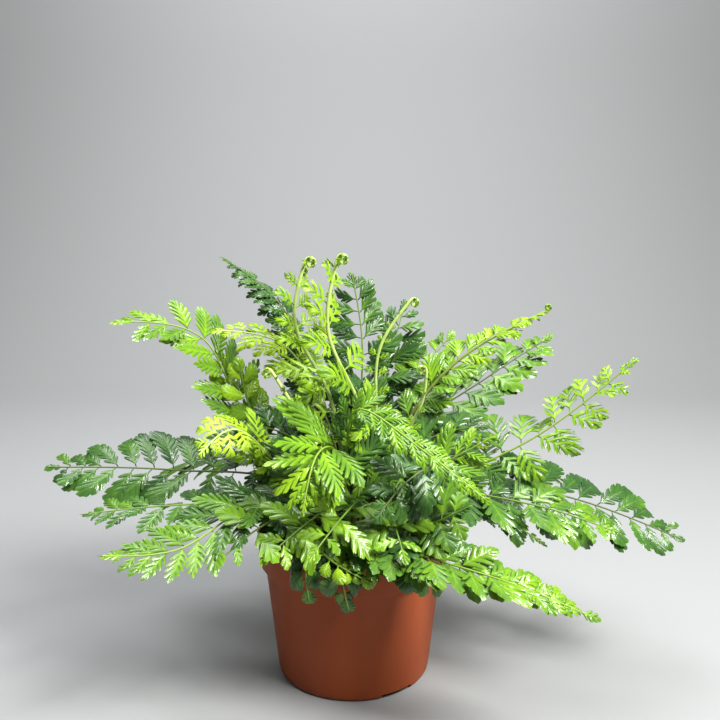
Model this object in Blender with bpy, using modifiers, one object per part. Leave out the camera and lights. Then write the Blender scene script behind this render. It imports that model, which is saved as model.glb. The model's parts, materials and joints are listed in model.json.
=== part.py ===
"""Potted spleenwort fern: a plastic nursery pot, its soil, and the fronds that stand in the soil.

Metres, +Z up. The origin is the middle of the pot's foot, and -Y is the side that faces the viewer.
"""

import math
from dataclasses import dataclass

import bpy
import numpy as np
from mathutils.bvhtree import BVHTree

# The pot, a 12 cm nursery pot: a plain tapered wall under a wider band that ends in the rim
POT_HEIGHT = 0.090
RIM_RADIUS = 0.060
BAND_HEIGHT = 0.0185
BAND_FOOT_RADIUS = 0.0586
WALL_TOP_RADIUS = 0.0554
FOOT_RADIUS = 0.048
FOOT_ROUNDING = 0.003
WALL = 0.0013
FLOOR = 0.0018
LIP = 0.0006
POT_SIDES = 40
DRAIN_ANGLES = (34.0, 154.0, 274.0)
DRAIN_SIZE = (0.022, 0.016, 0.006)

# The soil, domed at the crown, and the stems' holes in it
CLEARANCE = 0.0003
SOIL_TOP = 0.083
SOIL_DOME = 0.003
SOIL_LUMPS = 0.0035
SOIL_SIDES = 28
STEM_BOTTOM = 0.076
STEM_STRAIGHT_TOP = 0.088
STEM_SPACING = 0.0050
HOLE_RADIUS = 0.0021
HOLE_SIDES = 6

# The fronds: a flat rib that carries thin leaflets, and goes on into a coil where it is still young.
# A rib's stations below its leaflets are shares of its bare length.
RIB_WIDTH = 0.0019
RIB_TIP_WIDTH = 0.0012
RIB_THICKNESS = 0.0015
RIB_TIP_SHARE = 0.65
RIB_SPACING = 0.0045
RIB_SAMPLES = 41
BARE_STATIONS = (0, 0.22, 0.46, 0.72)
VIEWER = (0.15, -0.80, 0.58)
COIL_STEPS = 8
COIL_TURNS = 1.1
COIL_RADIUS = 0.0034
COIL_END_RADIUS = 0.0019
COIL_HALF_WIDTH = 0.0013
COIL_SHARE = 0.55
SEED = 7

# The leaflets: how they stand on the rib and droop, in degrees and as a share of their length. One
# that would touch something is bent or shortened, in the order tried.
BLADE_THICKNESS = 0.0007
LEAFLET_GAP = 0.00035
STALK = 0.0030
TIP_LEAFLET = 0.009
MOST_HALF_WIDTH = 0.36
DROOP = 0.12
SLANT = 74
SLANT_LOST = 34
SLANT_UNEVEN = 5
LEAN_UNEVEN = 7
BENDS = (0, 12, -12, 24, -24, 38, -38, 52)
TRIMS = (1.0, 0.8, 0.6)

# A leaflet's outline: how far along its rib, and its half width there as a share of the widest
PLAIN_OUTLINE = ((0.38, 0.80), (0.76, 1.00), (1.00, 0))
ROUND_OUTLINE = ((0.30, 0.90), (0.72, 1.00), (1.00, 0))
TIP_OUTLINE = ((0.5, 1.0), (1.0, 0))


@dataclass
class Kind:
    """A kind of frond by age: its leaflet pairs, the bare share of its rib, its outline and its colour."""

    pairs: int
    bare: float
    outline: tuple
    fullness: float
    colour: tuple


DARK_LEAF = (0.045, 0.135, 0.030, 1)
GREEN_LEAF = (0.095, 0.250, 0.035, 1)
BRIGHT_LEAF = (0.210, 0.430, 0.045, 1)
LIME_LEAF = (0.330, 0.550, 0.060, 1)

MATURE = Kind(6, 0.20, PLAIN_OUTLINE, 1.0, DARK_LEAF)
BRIGHT = Kind(5, 0.22, PLAIN_OUTLINE, 1.0, BRIGHT_LEAF)
FULL = Kind(5, 0.20, PLAIN_OUTLINE, 1.0, GREEN_LEAF)
INNER = Kind(4, 0.24, PLAIN_OUTLINE, 1.0, DARK_LEAF)
SMALL = Kind(4, 0.36, ROUND_OUTLINE, 0.95, GREEN_LEAF)
YOUNG = Kind(4, 0.30, PLAIN_OUTLINE, 0.9, LIME_LEAF)
COILED = Kind(3, 0.34, PLAIN_OUTLINE, 0.8, LIME_LEAF)
LIME = Kind(5, 0.28, PLAIN_OUTLINE, 0.9, LIME_LEAF)


@dataclass
class Frond:
    """A frond: its longest leaflet, how far its face turns to the viewer, and the points its rib passes."""

    name: str
    kind: Kind
    reach: float
    face: float
    via: tuple
    tip: tuple
    curl: tuple = None


FRONDS = (
    # Left side, from the long low frond up to the high arched one
    Frond("left_long", MATURE, 0.032, 0.70,
          ((-0.040, 0.000, 0.118), (-0.110, -0.005, 0.130)), (-0.185, -0.015, 0.135)),
    Frond("left_low", FULL, 0.024, 0.20,
          ((-0.050, -0.020, 0.112), (-0.105, -0.040, 0.120)), (-0.155, -0.050, 0.118)),
    Frond("left_front", BRIGHT, 0.034, 0.50,
          ((-0.055, -0.045, 0.122), (-0.095, -0.082, 0.110)), (-0.130, -0.100, 0.115)),
    Frond("left_lime", YOUNG, 0.019, 0.60,
          ((-0.040, -0.015, 0.130), (-0.070, -0.040, 0.165)), (-0.085, -0.060, 0.155)),
    Frond("left_high", BRIGHT, 0.034, 0.50,
          ((-0.070, 0.015, 0.160), (-0.095, 0.015, 0.210)), (-0.145, -0.005, 0.222)),
    Frond("left_round", SMALL, 0.017, 0.70,
          ((-0.048, 0.000, 0.140), (-0.065, 0.005, 0.170)), (-0.070, 0.005, 0.198)),
    Frond("left_round_back", SMALL, 0.014, 0.60,
          ((-0.045, 0.015, 0.135), (-0.075, 0.020, 0.170)), (-0.085, 0.020, 0.203)),
    Frond("left_under", FULL, 0.036, 0.60,
          ((-0.028, -0.035, 0.114), (-0.050, -0.062, 0.116)), (-0.074, -0.078, 0.100)),
    # Top, with the croziers that are still uncoiling
    Frond("top_left", INNER, 0.020, 0.00,
          ((-0.025, 0.025, 0.165), (-0.045, 0.035, 0.225)), (-0.085, 0.040, 0.258)),
    Frond("top_left_inner", YOUNG, 0.022, 0.40,
          ((-0.018, 0.015, 0.160), (-0.045, 0.018, 0.205)), (-0.088, 0.015, 0.214)),
    Frond("top_back", FULL, 0.028, 0.30,
          ((0.004, 0.025, 0.155), (0.005, 0.038, 0.210)), (-0.002, 0.042, 0.250)),
    Frond("top_right_back", FULL, 0.028, 0.40,
          ((0.012, 0.030, 0.150), (0.025, 0.045, 0.195)), (0.035, 0.055, 0.230)),
    Frond("right_fan", FULL, 0.024, 0.60,
          ((0.022, 0.030, 0.140), (0.045, 0.045, 0.182)), (0.068, 0.055, 0.208)),
    Frond("crozier_tall", LIME, 0.036, 0.60,
          ((0.004, -0.012, 0.170), (-0.015, -0.012, 0.220)), (-0.009, -0.012, 0.260), curl=(1, 0, 0)),
    Frond("crozier_left", LIME, 0.030, 0.60,
          ((-0.014, -0.002, 0.175), (-0.035, -0.005, 0.226)), (-0.028, -0.005, 0.258), curl=(1, 0, 0)),
    Frond("crozier_right", COILED, 0.014, 0.50,
          ((0.014, 0.018, 0.150), (0.018, 0.022, 0.205)), (0.036, 0.022, 0.232), curl=(0, 0, -1)),
    Frond("crozier_low", COILED, 0.020, 0.70,
          ((-0.016, -0.035, 0.140), (-0.032, -0.045, 0.178)), (-0.045, -0.045, 0.200), curl=(-1, 0, 0)),
    Frond("crozier_small", COILED, 0.012, 0.70,
          ((0.030, -0.010, 0.150), (0.042, -0.016, 0.180)), (0.043, -0.018, 0.195), curl=(-1, 0, 0)),
    # Right side, from the high ones down to the low one
    Frond("right_high", BRIGHT, 0.024, 0.50,
          ((0.025, 0.010, 0.140), (0.058, 0.015, 0.188)), (0.122, 0.020, 0.226), curl=(0, 0, 1)),
    Frond("right_far", BRIGHT, 0.031, 0.50,
          ((0.055, -0.010, 0.122), (0.112, -0.020, 0.158)), (0.163, -0.030, 0.205)),
    Frond("right_back", MATURE, 0.030, 0.55,
          ((0.035, 0.030, 0.140), (0.090, 0.042, 0.180)), (0.132, 0.052, 0.205)),
    Frond("right_low", MATURE, 0.033, 0.70,
          ((0.055, 0.010, 0.118), (0.130, 0.000, 0.112)), (0.200, -0.022, 0.091)),
    Frond("right_front", FULL, 0.032, 0.50,
          ((0.045, -0.020, 0.118), (0.100, -0.042, 0.122)), (0.150, -0.058, 0.110)),
    Frond("right_under", SMALL, 0.018, 0.40,
          ((0.045, 0.018, 0.104), (0.090, 0.022, 0.092)), (0.126, 0.015, 0.072)),
    Frond("front_right", BRIGHT, 0.028, 0.55,
          ((-0.002, -0.046, 0.104), (0.045, -0.080, 0.104), (0.085, -0.098, 0.098)), (0.125, -0.108, 0.084)),
    Frond("right_middle", BRIGHT, 0.040, 0.85,
          ((0.018, -0.012, 0.125), (0.042, -0.030, 0.138)), (0.080, -0.045, 0.163)),
    # Middle and front, over the rim
    Frond("middle_left", BRIGHT, 0.052, 1.00,
          ((-0.010, -0.036, 0.152), (-0.020, -0.076, 0.158)), (-0.026, -0.092, 0.132)),
    Frond("middle_right", BRIGHT, 0.013, 0.85,
          ((-0.004, -0.030, 0.150), (0.003, -0.052, 0.180), (0.038, -0.076, 0.163)), (0.072, -0.088, 0.138)),
    Frond("middle_dark", INNER, 0.028, 0.80,
          ((0.030, -0.020, 0.125), (0.052, -0.042, 0.149), (0.029, -0.062, 0.141)), (0.011, -0.079, 0.124)),
    Frond("middle_low", FULL, 0.034, 0.80,
          ((0.012, -0.028, 0.104), (0.036, -0.056, 0.113)), (0.064, -0.077, 0.134)),
    Frond("inner_left", INNER, 0.032, 0.60,
          ((-0.020, 0.004, 0.125), (-0.038, -0.002, 0.150)), (-0.064, -0.008, 0.160)),
    Frond("inner_middle", INNER, 0.032, 0.60,
          ((0.000, 0.004, 0.125), (0.006, 0.002, 0.155)), (-0.006, -0.004, 0.190)),
    Frond("inner_right", INNER, 0.032, 0.60,
          ((0.024, 0.002, 0.125), (0.050, 0.000, 0.150)), (0.082, -0.006, 0.158)),
    Frond("front_left", FULL, 0.036, 0.60,
          ((-0.014, -0.032, 0.114), (-0.024, -0.060, 0.118)), (-0.048, -0.082, 0.104)),
    Frond("front_middle", FULL, 0.034, 0.60,
          ((0.004, -0.030, 0.118), (-0.004, -0.064, 0.124)), (-0.022, -0.092, 0.110)),
    Frond("front_low", FULL, 0.034, 0.60,
          ((0.014, -0.028, 0.114), (0.022, -0.062, 0.119)), (0.028, -0.090, 0.106)),
    Frond("rim_left", SMALL, 0.012, 0.70,
          ((-0.016, -0.044, 0.100), (-0.025, -0.063, 0.097)), (-0.024, -0.070, 0.075)),
    Frond("rim_middle", SMALL, 0.012, 0.70,
          ((-0.002, -0.046, 0.100), (-0.006, -0.068, 0.097)), (-0.002, -0.074, 0.071)),
    Frond("rim_right", SMALL, 0.012, 0.70,
          ((0.015, -0.040, 0.099), (0.030, -0.066, 0.096)), (0.050, -0.066, 0.078)),
    Frond("rim_lime", SMALL, 0.011, 0.70,
          ((-0.020, -0.045, 0.099), (-0.010, -0.074, 0.100)), (0.012, -0.080, 0.090)),
    # Back, where the older fronds arch out lower than the front ones
    Frond("back_left", FULL, 0.028, 0.00,
          ((-0.045, 0.025, 0.120), (-0.095, 0.055, 0.120)), (-0.140, 0.082, 0.100)),
    Frond("back_left_mid", FULL, 0.028, 0.00,
          ((-0.030, 0.040, 0.130), (-0.060, 0.085, 0.145)), (-0.085, 0.122, 0.125)),
    Frond("back_middle_left", INNER, 0.028, 0.00,
          ((-0.014, 0.038, 0.140), (-0.026, 0.078, 0.168)), (-0.038, 0.118, 0.162)),
    Frond("back_middle", INNER, 0.028, 0.00,
          ((0.004, 0.040, 0.120), (0.008, 0.085, 0.140)), (0.014, 0.130, 0.127)),
    Frond("back_middle_right", INNER, 0.028, 0.00,
          ((0.022, 0.040, 0.142), (0.042, 0.075, 0.170)), (0.064, 0.108, 0.166)),
    Frond("back_right_mid", FULL, 0.028, 0.00,
          ((0.038, 0.042, 0.122), (0.076, 0.082, 0.132)), (0.106, 0.118, 0.115)),
    Frond("back_right", FULL, 0.028, 0.00,
          ((0.050, 0.025, 0.115), (0.105, 0.052, 0.116)), (0.152, 0.075, 0.096)),
    Frond("back_low_left", INNER, 0.026, 0.00,
          ((-0.022, 0.045, 0.106), (-0.046, 0.082, 0.104)), (-0.066, 0.110, 0.084)),
    Frond("back_low_right", INNER, 0.026, 0.00,
          ((0.022, 0.050, 0.104), (0.050, 0.088, 0.102)), (0.074, 0.112, 0.083)),
)


def remove_scene_objects():
    for obj in list(bpy.data.objects):
        bpy.data.objects.remove(obj, do_unlink=True)


def new_collection(name, hidden):
    collection = bpy.data.collections.new(name)
    collection.hide_render = hidden
    bpy.context.scene.collection.children.link(collection)
    return collection


def plain_material(name, colour, roughness):
    material = bpy.data.materials.new(name)
    material.use_nodes = True
    shader = material.node_tree.nodes["Principled BSDF"]
    shader.inputs["Base Color"].default_value = colour
    shader.inputs["Roughness"].default_value = roughness
    return material


def new_object(name, collection, points, edges, faces, material=None):
    mesh = bpy.data.meshes.new(name)
    mesh.from_pydata([tuple(point) for point in points], edges, faces)
    if material:
        mesh.materials.append(material)
    obj = bpy.data.objects.new(name, mesh)
    collection.objects.link(obj)
    return obj


def turned(name, collection, profile, sides, material):
    """A turned body: the profile runs from the axis up the inside and down the outside, back to the axis."""
    edges = [(i, i + 1) for i in range(len(profile) - 1)]
    obj = new_object(name, collection, [(r, 0, z) for r, z in profile], edges, [], material)
    screw = obj.modifiers.new("Turn", "SCREW")
    screw.steps = sides
    screw.render_steps = sides
    screw.use_merge_vertices = True
    screw.merge_threshold = 0.00005
    return obj


def cut(obj, cutters):
    """Cuts the cutters' collection out of the object."""
    boolean = obj.modifiers.new("Cut", "BOOLEAN")
    boolean.operation = "DIFFERENCE"
    boolean.operand_type = "COLLECTION"
    boolean.collection = cutters


def as_cutter(obj, cutters):
    for collection in list(obj.users_collection):
        collection.objects.unlink(obj)
    cutters.objects.link(obj)
    obj.hide_render = True
    obj.display_type = "WIRE"


# The pot and its soil


def inner_profile(inset):
    """The inside of the pot's wall, moved inwards by inset, from the floor's edge to the rim."""
    band_foot = POT_HEIGHT - BAND_HEIGHT
    return [
        (FOOT_RADIUS - WALL - FOOT_ROUNDING - inset, FLOOR + inset),
        (FOOT_RADIUS - WALL - inset, FLOOR + FOOT_ROUNDING),
        (WALL_TOP_RADIUS - WALL - inset, band_foot + WALL),
        (BAND_FOOT_RADIUS - WALL - inset, band_foot + 2 * WALL),
        (RIM_RADIUS - WALL - inset, POT_HEIGHT - LIP),
    ]


def rounded_foot(steps):
    """The quarter circle from the pot's wall down to its flat foot."""
    middle = FOOT_RADIUS - FOOT_ROUNDING
    turns = [math.radians(90 * step / steps) for step in range(steps + 1)]
    return [
        (middle + FOOT_ROUNDING * math.cos(turn), FOOT_ROUNDING * (1 - math.sin(turn)))
        for turn in turns
    ]


def make_pot(collection, cutters):
    band_foot = POT_HEIGHT - BAND_HEIGHT
    profile = [
        (0, FLOOR),
        *inner_profile(0),
        (RIM_RADIUS - WALL + LIP, POT_HEIGHT),
        (RIM_RADIUS - LIP, POT_HEIGHT),
        (RIM_RADIUS, POT_HEIGHT - LIP),
        (BAND_FOOT_RADIUS, band_foot + LIP),
        (BAND_FOOT_RADIUS - LIP, band_foot),
        (WALL_TOP_RADIUS, band_foot - LIP),
        *rounded_foot(4),
        (0, 0),
    ]
    material = plain_material("Terracotta Plastic", (0.26, 0.11, 0.055, 1), 0.42)
    pot = turned("pot", collection, profile, POT_SIDES, material)
    for angle in DRAIN_ANGLES:
        turn = math.radians(angle - 90)
        place = (FOOT_RADIUS * math.cos(turn), FOOT_RADIUS * math.sin(turn), 0)
        bpy.ops.mesh.primitive_cube_add(size=1, location=place, rotation=(0, 0, turn + math.pi / 2))
        slot = bpy.context.object
        slot.name = f"drain_slot_{angle:.0f}"
        slot.scale = DRAIN_SIZE
        as_cutter(slot, cutters)
    cut(pot, cutters)
    return pot


def lump(points):
    """How far the soil's top stands above or below its even height: a few crossed waves."""
    x, y = points[..., 0], points[..., 1]
    waves = np.sin(310 * x + 1.3) * np.cos(270 * y) + 0.7 * np.sin(190 * (x + y)) * np.cos(230 * (x - y))
    return SOIL_LUMPS * waves / 3.4


def make_soil(collection, cutters, bases):
    rings = (0.016, 0.030, 0.044)
    outside = inner_profile(CLEARANCE)[:-1]
    outer_radius = outside[-1][0] + 0.0005
    tops = [(r, SOIL_TOP + SOIL_DOME * (1 - (r / RIM_RADIUS) ** 2)) for r in rings]
    profile = [(0, SOIL_TOP + SOIL_DOME), *tops, (outer_radius, SOIL_TOP)]
    profile += [*reversed(outside), (0, outside[0][1])]
    material = plain_material("Dark Peat", (0.022, 0.014, 0.009, 1), 0.95)
    soil = turned("soil", collection, profile, SOIL_SIDES, material)
    graph = bpy.context.evaluated_depsgraph_get()
    mesh = bpy.data.meshes.new_from_object(soil.evaluated_get(graph))
    soil.modifiers.clear()
    soil.data = mesh
    points = np.array([vertex.co for vertex in mesh.vertices])
    on_top = points[:, 2] >= SOIL_TOP - 0.0001
    points[on_top, 2] += lump(points[on_top])
    mesh.vertices.foreach_set("co", points.ravel())
    for number, (x, y) in enumerate(bases):
        height = POT_HEIGHT - STEM_BOTTOM
        place = (x, y, STEM_BOTTOM - CLEARANCE + height / 2)
        bpy.ops.mesh.primitive_cylinder_add(
            vertices=HOLE_SIDES, radius=HOLE_RADIUS, depth=height, location=place
        )
        hole = bpy.context.object
        hole.name = f"stem_hole_{number + 1}"
        as_cutter(hole, cutters)
    cut(soil, cutters)
    return soil


# The ribs' paths


def unit(vectors):
    return vectors / np.linalg.norm(vectors, axis=-1, keepdims=True)


def evenly(points, count):
    """As many points as count, evenly spaced along the line through points."""
    lengths = np.linalg.norm(np.diff(points, axis=0), axis=1)
    travelled = np.concatenate([[0], np.cumsum(lengths)])
    wanted = np.linspace(0, travelled[-1], count)
    return np.stack([np.interp(wanted, travelled, points[:, axis]) for axis in range(3)], axis=1)


def curve_through(points, count):
    """Points along the smooth curve through points: a cubic on each span, whose slope at each point is
    the mean of the two spans' slopes there, the shorter span counting more."""
    points = np.array(points, dtype=float)
    spans = np.linalg.norm(np.diff(points, axis=0), axis=1)[:, None]
    slopes = np.diff(points, axis=0) / spans
    inner = (slopes[:-1] * spans[1:] + slopes[1:] * spans[:-1]) / (spans[:-1] + spans[1:])
    ends = np.vstack([slopes[:1], inner, 1.5 * slopes[-1:] - 0.5 * inner[-1:]])
    t = np.linspace(0, 1, 24)[:, None]
    pieces = [
        (2 * t**3 - 3 * t**2 + 1) * points[i]
        + (t**3 - 2 * t**2 + t) * spans[i] * ends[i]
        + (3 * t**2 - 2 * t**3) * points[i + 1]
        + (t**3 - t**2) * spans[i] * ends[i + 1]
        for i in range(len(spans))
    ]
    return evenly(np.vstack([pieces[0], *[piece[1:] for piece in pieces[1:]]]), count)


def push_apart(paths, least, rounds, held):
    """Moves paths that run closer than least away from each other, each by half of what is missing, with
    the move spread along the path. The first held points of each path stay."""
    count, samples, axes = paths.shape
    owner = np.repeat(np.arange(count), samples)
    flat = paths.reshape(-1, axes)
    distances = np.linalg.norm(flat[:, None] - flat[None, :], axis=2)
    first, second = np.nonzero((owner[:, None] < owner[None, :]) & (distances < 5 * least))
    for _ in range(rounds):
        flat = paths.reshape(-1, axes)
        apart = flat[first] - flat[second]
        distance = np.linalg.norm(apart, axis=1, keepdims=True) + 1e-9
        move = apart / distance * np.clip(least - distance, 0, None) / 2
        moves = np.zeros_like(flat)
        np.add.at(moves, first, move)
        np.add.at(moves, second, -move)
        moves = moves.reshape(paths.shape)
        for _ in range(3 if samples > 1 else 0):
            padded = np.concatenate([moves[:, :1], moves, moves[:, -1:]], axis=1)
            moves = 0.25 * padded[:, :-2] + 0.5 * padded[:, 1:-1] + 0.25 * padded[:, 2:]
        moves[:, :held] = 0
        paths = paths + moves
    return paths


def stem_bases():
    """Where each stem leaves the soil: close round the crown, on the side that its frond leans to."""
    starts = np.array([frond.via[0][:2] for frond in FRONDS]) * 0.2
    return push_apart(starts[:, None, :], STEM_SPACING, 200, 0)[:, 0]


def rib_paths(bases):
    """Each frond's rib as evenly spaced points, no two ribs closer than they can be in the soil."""
    paths = []
    for frond, (x, y) in zip(FRONDS, bases):
        start = [(x, y, STEM_BOTTOM), (x, y, STEM_STRAIGHT_TOP)]
        paths.append(curve_through([*start, *frond.via, frond.tip], RIB_SAMPLES))
    return push_apart(np.array(paths), RIB_SPACING, 240, 4)


def coil(tip, tangent, inward):
    """A crozier's spiral: it goes on from the tip along tangent and winds in towards inward."""
    middle = tip + COIL_RADIUS * inward
    angle = np.linspace(0, 2 * math.pi * COIL_TURNS, COIL_STEPS + 1)[1:, None]
    radius = COIL_RADIUS + (COIL_END_RADIUS - COIL_RADIUS) * angle / angle[-1]
    points = middle + radius * (tangent * np.sin(angle) - inward * np.cos(angle))
    normals = inward * np.cos(angle) - tangent * np.sin(angle)
    return points, normals


def blade_normals(path, frond):
    """The direction that the blade faces at each point: up and towards the crown, turned to the viewer."""
    tangents = unit(np.gradient(path, axis=0))
    heading = path[-1] - path[0]
    heading[2] = 0
    side = np.cross(unit(heading), (0, 0, 1))
    normals = unit(np.cross(side, tangents))
    share = np.full((len(path), 1), frond.face)
    target = np.array(VIEWER, dtype=float)
    if frond.curl:
        along = np.linspace(0, 1, len(path))[:, None]
        normals = unit((1 - share) * normals + share * target)
        target = np.array(frond.curl, dtype=float)
        share = along**4
    normals = unit((1 - share) * normals + share * target)
    normals -= (normals * tangents).sum(1, keepdims=True) * tangents
    return tangents, unit(normals)


# A frond's sheet of triangles, before it gets its thickness


class Sheet:
    """An open sheet: its points, its triangles, and each point's share of the rib's thickness."""

    def __init__(self):
        self.points = []
        self.faces = []
        self.shares = []

    def add(self, point, share):
        self.points.append(np.array(point))
        self.shares.append(share)
        return len(self.points) - 1

    def add_leaflet(self, root, lower, upper, flipped):
        """Joins a leaflet's two edges to the rib's edge, which is a pair of points."""
        share = BLADE_THICKNESS / RIB_THICKNESS
        low, high = root
        for next_low, next_high in zip(lower[:-1], upper[:-1]):
            a, b = self.add(next_low, share), self.add(next_high, share)
            if flipped:
                self.faces += [(low, high, b), (low, b, a)]
            else:
                self.faces += [(low, b, high), (low, a, b)]
            low, high = a, b
        point = self.add(lower[-1], share)
        self.faces.append((low, high, point) if flipped else (low, point, high))


def slab(lower, upper, normal, half):
    """A closed slab round the strip between two edges, as points and triangles."""
    top = [point + normal * half for pair in zip(lower, upper) for point in pair]
    bottom = [point - normal * half for pair in zip(lower, upper) for point in pair]
    points = top + bottom
    under = len(top)
    faces = [(0, 1, under + 1), (0, under + 1, under)]
    faces += [(under - 2, under - 1, 2 * under - 1), (under - 2, 2 * under - 1, 2 * under - 2)]
    for i in range(0, under - 2, 2):
        for a, b, c, d in ((i, i + 1, i + 3, i + 2), (i, i + 2, i + 2 + under, i + under)):
            faces += [(a, b, c), (a, c, d)]
        for a, b, c, d in (
            (i + under, i + 1 + under, i + 3 + under, i + 2 + under),
            (i + 1, i + 3, i + 3 + under, i + 1 + under),
        ):
            faces += [(a, b, c), (a, c, d)]
    return points, faces


def joined(shapes):
    """Several shapes of points and triangles as one search tree."""
    points, faces = [], []
    for shape_points, shape_faces in shapes:
        start = len(points)
        points += [tuple(point) for point in shape_points]
        faces += [tuple(start + corner for corner in face) for face in shape_faces]
    return BVHTree.FromPolygons(points, faces, all_triangles=True)


def touches(shape, trees):
    tree = joined([shape])
    return any(tree.overlap(other) for other in trees)


class Rib:
    """A frond's rib: a narrow strip of stations, and which of its spans carry leaflets."""

    def __init__(self, frond, path):
        kind = frond.kind
        tangents, normals = blade_normals(path, frond)
        length = np.linalg.norm(np.diff(path, axis=0), axis=1).sum()
        end = 1.0 if frond.curl else 1 - TIP_LEAFLET / length
        pitch = (end - kind.bare) / kind.pairs
        stalk = STALK / length
        starts = kind.bare + pitch * (np.arange(kind.pairs) + 0.2)
        first = len(BARE_STATIONS)
        self.spans = range(first, first + 2 * kind.pairs, 2)
        self.along = (np.arange(kind.pairs) + 0.5) / kind.pairs
        self.pitch = pitch * length
        bare = kind.bare * np.array(BARE_STATIONS)
        stations = np.concatenate([bare, np.ravel(np.stack([starts, starts + stalk], axis=1)), [end]])
        self.centres = at(path, stations)
        self.tangents = unit(at(tangents, stations))
        self.normals = unit(at(normals, stations))
        self.widths = np.interp(stations, [0, 1], [RIB_WIDTH, RIB_TIP_WIDTH]) / 2
        self.shares = np.interp(stations, [0, 1], [1.0, RIB_TIP_SHARE])
        if frond.curl:
            self.add_coil(frond)
        self.sides = np.cross(self.tangents, self.normals)
        self.left = self.centres - self.sides * self.widths[:, None]
        self.right = self.centres + self.sides * self.widths[:, None]

    def add_coil(self, frond):
        tangent, inward = self.tangents[-1], self.normals[-1]
        points, normals = coil(self.centres[-1], tangent, inward)
        self.centres = np.vstack([self.centres, points])
        self.normals = np.vstack([self.normals, normals])
        self.tangents = np.vstack([self.tangents, np.cross(normals, np.cross(tangent, inward))])
        self.widths = np.concatenate([self.widths, np.full(len(points), COIL_HALF_WIDTH)])
        self.shares = np.concatenate([self.shares, np.full(len(points), COIL_SHARE)])

    def solid(self, first=0, last=None):
        """The closed shape of the rib between two stations."""
        last = len(self.centres) if last is None else last
        half = self.normals[first:last] * RIB_THICKNESS / 2
        lower, upper = self.left[first:last], self.right[first:last]
        points, faces = slab(lower, upper, np.zeros(3), 0)
        thick = np.repeat(half, 2, axis=0)
        offset = np.concatenate([thick, -thick])
        return [point + move for point, move in zip(points, offset)], faces

    def away_from(self, span):
        """The rib without the stretch that a leaflet on this span grows from."""
        pieces = []
        if span > self.spans[0]:
            pieces.append(self.solid(0, span - 1))
        if span + 3 < len(self.centres) - 1:
            pieces.append(self.solid(span + 3))
        return pieces


def at(values, stations):
    """The values at these shares of the path's length."""
    even = np.linspace(0, 1, len(values))
    return np.stack([np.interp(stations, even, values[:, axis]) for axis in range(3)], axis=1)


def leaflet_edges(root, along, across, normal, length, half_width, outline):
    """A leaflet's two edges from its stalk to its tip, on both sides of a midrib that droops."""
    shares = np.array(outline)
    reach = shares[:, :1] * length
    midrib = root + along * reach - normal * DROOP * reach**2 / length
    half = across * half_width * shares[:, 1:]
    return midrib - half, midrib + half


def reach_at(frond, share):
    """A leaflet's length: the longest sit in the lower half of the blade, and they shorten to its tip."""
    return frond.reach * (0.9 + share) * (1 - share) ** 0.6


def grow_leaflet(rib, frond, number, side, draw, trees):
    """The first form of a leaflet that touches nothing, or None."""
    span = rib.spans[number]
    share = rib.along[number]
    ends = (rib.right if side > 0 else rib.left)[span : span + 2]
    root = ends.mean(axis=0)
    normal = rib.normals[span]
    slant = math.radians(SLANT - SLANT_LOST * share + draw.uniform(-SLANT_UNEVEN, SLANT_UNEVEN))
    outward = rib.sides[span] * side
    flat = rib.tangents[span] * math.cos(slant) + outward * math.sin(slant)
    lean = draw.uniform(-LEAN_UNEVEN, LEAN_UNEVEN)
    own = [joined(rib.away_from(span))] if rib.away_from(span) else []
    for trim in TRIMS:
        for bend in BENDS:
            lift = math.radians(lean + bend)
            along = flat * math.cos(lift) + normal * math.sin(lift)
            across = unit(rib.tangents[span] - along * np.dot(rib.tangents[span], along))
            facing = np.cross(along, across) * side
            length = reach_at(frond, share) * trim
            room = 0.5 * rib.pitch * math.sin(slant) * frond.kind.fullness
            half_width = min(room, MOST_HALF_WIDTH * length)
            edges = leaflet_edges(root, along, across, facing, length, half_width, frond.kind.outline)
            whole = [np.vstack([end, edge]) for end, edge in zip(ends, edges)]
            outer = slab(*whole, facing, BLADE_THICKNESS / 2 + LEAFLET_GAP)
            if not touches(outer, trees + own):
                return edges, slab(*whole, facing, BLADE_THICKNESS / 2)
    return None


def tip_leaflet(rib, frond, trees):
    """The leaflet that ends a frond, straight on from its rib, or None where it would touch."""
    root, tangent, side, normal = rib.centres[-1], rib.tangents[-1], rib.sides[-1], rib.normals[-1]
    half_width = MOST_HALF_WIDTH * TIP_LEAFLET
    edges = leaflet_edges(root, tangent, side, normal, TIP_LEAFLET, half_width, TIP_OUTLINE)
    whole = [np.vstack([end, edge]) for end, edge in zip((rib.left[-1], rib.right[-1]), edges)]
    shape = slab(*whole, rib.normals[-1], BLADE_THICKNESS / 2 + LEAFLET_GAP)
    return None if touches(shape, trees) else (edges, shape)


def frond_sheet(rib, frond, draw, trees):
    """A frond's whole sheet, and the closed shapes of its leaflets."""
    sheet = Sheet()
    lefts = [sheet.add(point, share) for point, share in zip(rib.left, rib.shares)]
    rights = [sheet.add(point, share) for point, share in zip(rib.right, rib.shares)]
    for i in range(len(lefts) - 1):
        sheet.faces += [(lefts[i], rights[i], rights[i + 1]), (lefts[i], rights[i + 1], lefts[i + 1])]
    shapes = []
    for number, span in enumerate(rib.spans):
        for side, row in ((1, rights), (-1, lefts)):
            own = [joined(shapes)] if shapes else []
            grown = grow_leaflet(rib, frond, number, side, draw, trees + own)
            if grown:
                (lower, upper), shape = grown
                shapes.append(shape)
                sheet.add_leaflet((row[span], row[span + 1]), lower, upper, side < 0)
    if not frond.curl:
        grown = tip_leaflet(rib, frond, trees + [joined(shapes)])
        if grown:
            (lower, upper), shape = grown
            shapes.append(shape)
            sheet.add_leaflet((lefts[-1], rights[-1]), lower, upper, True)
    return sheet, shapes


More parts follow.
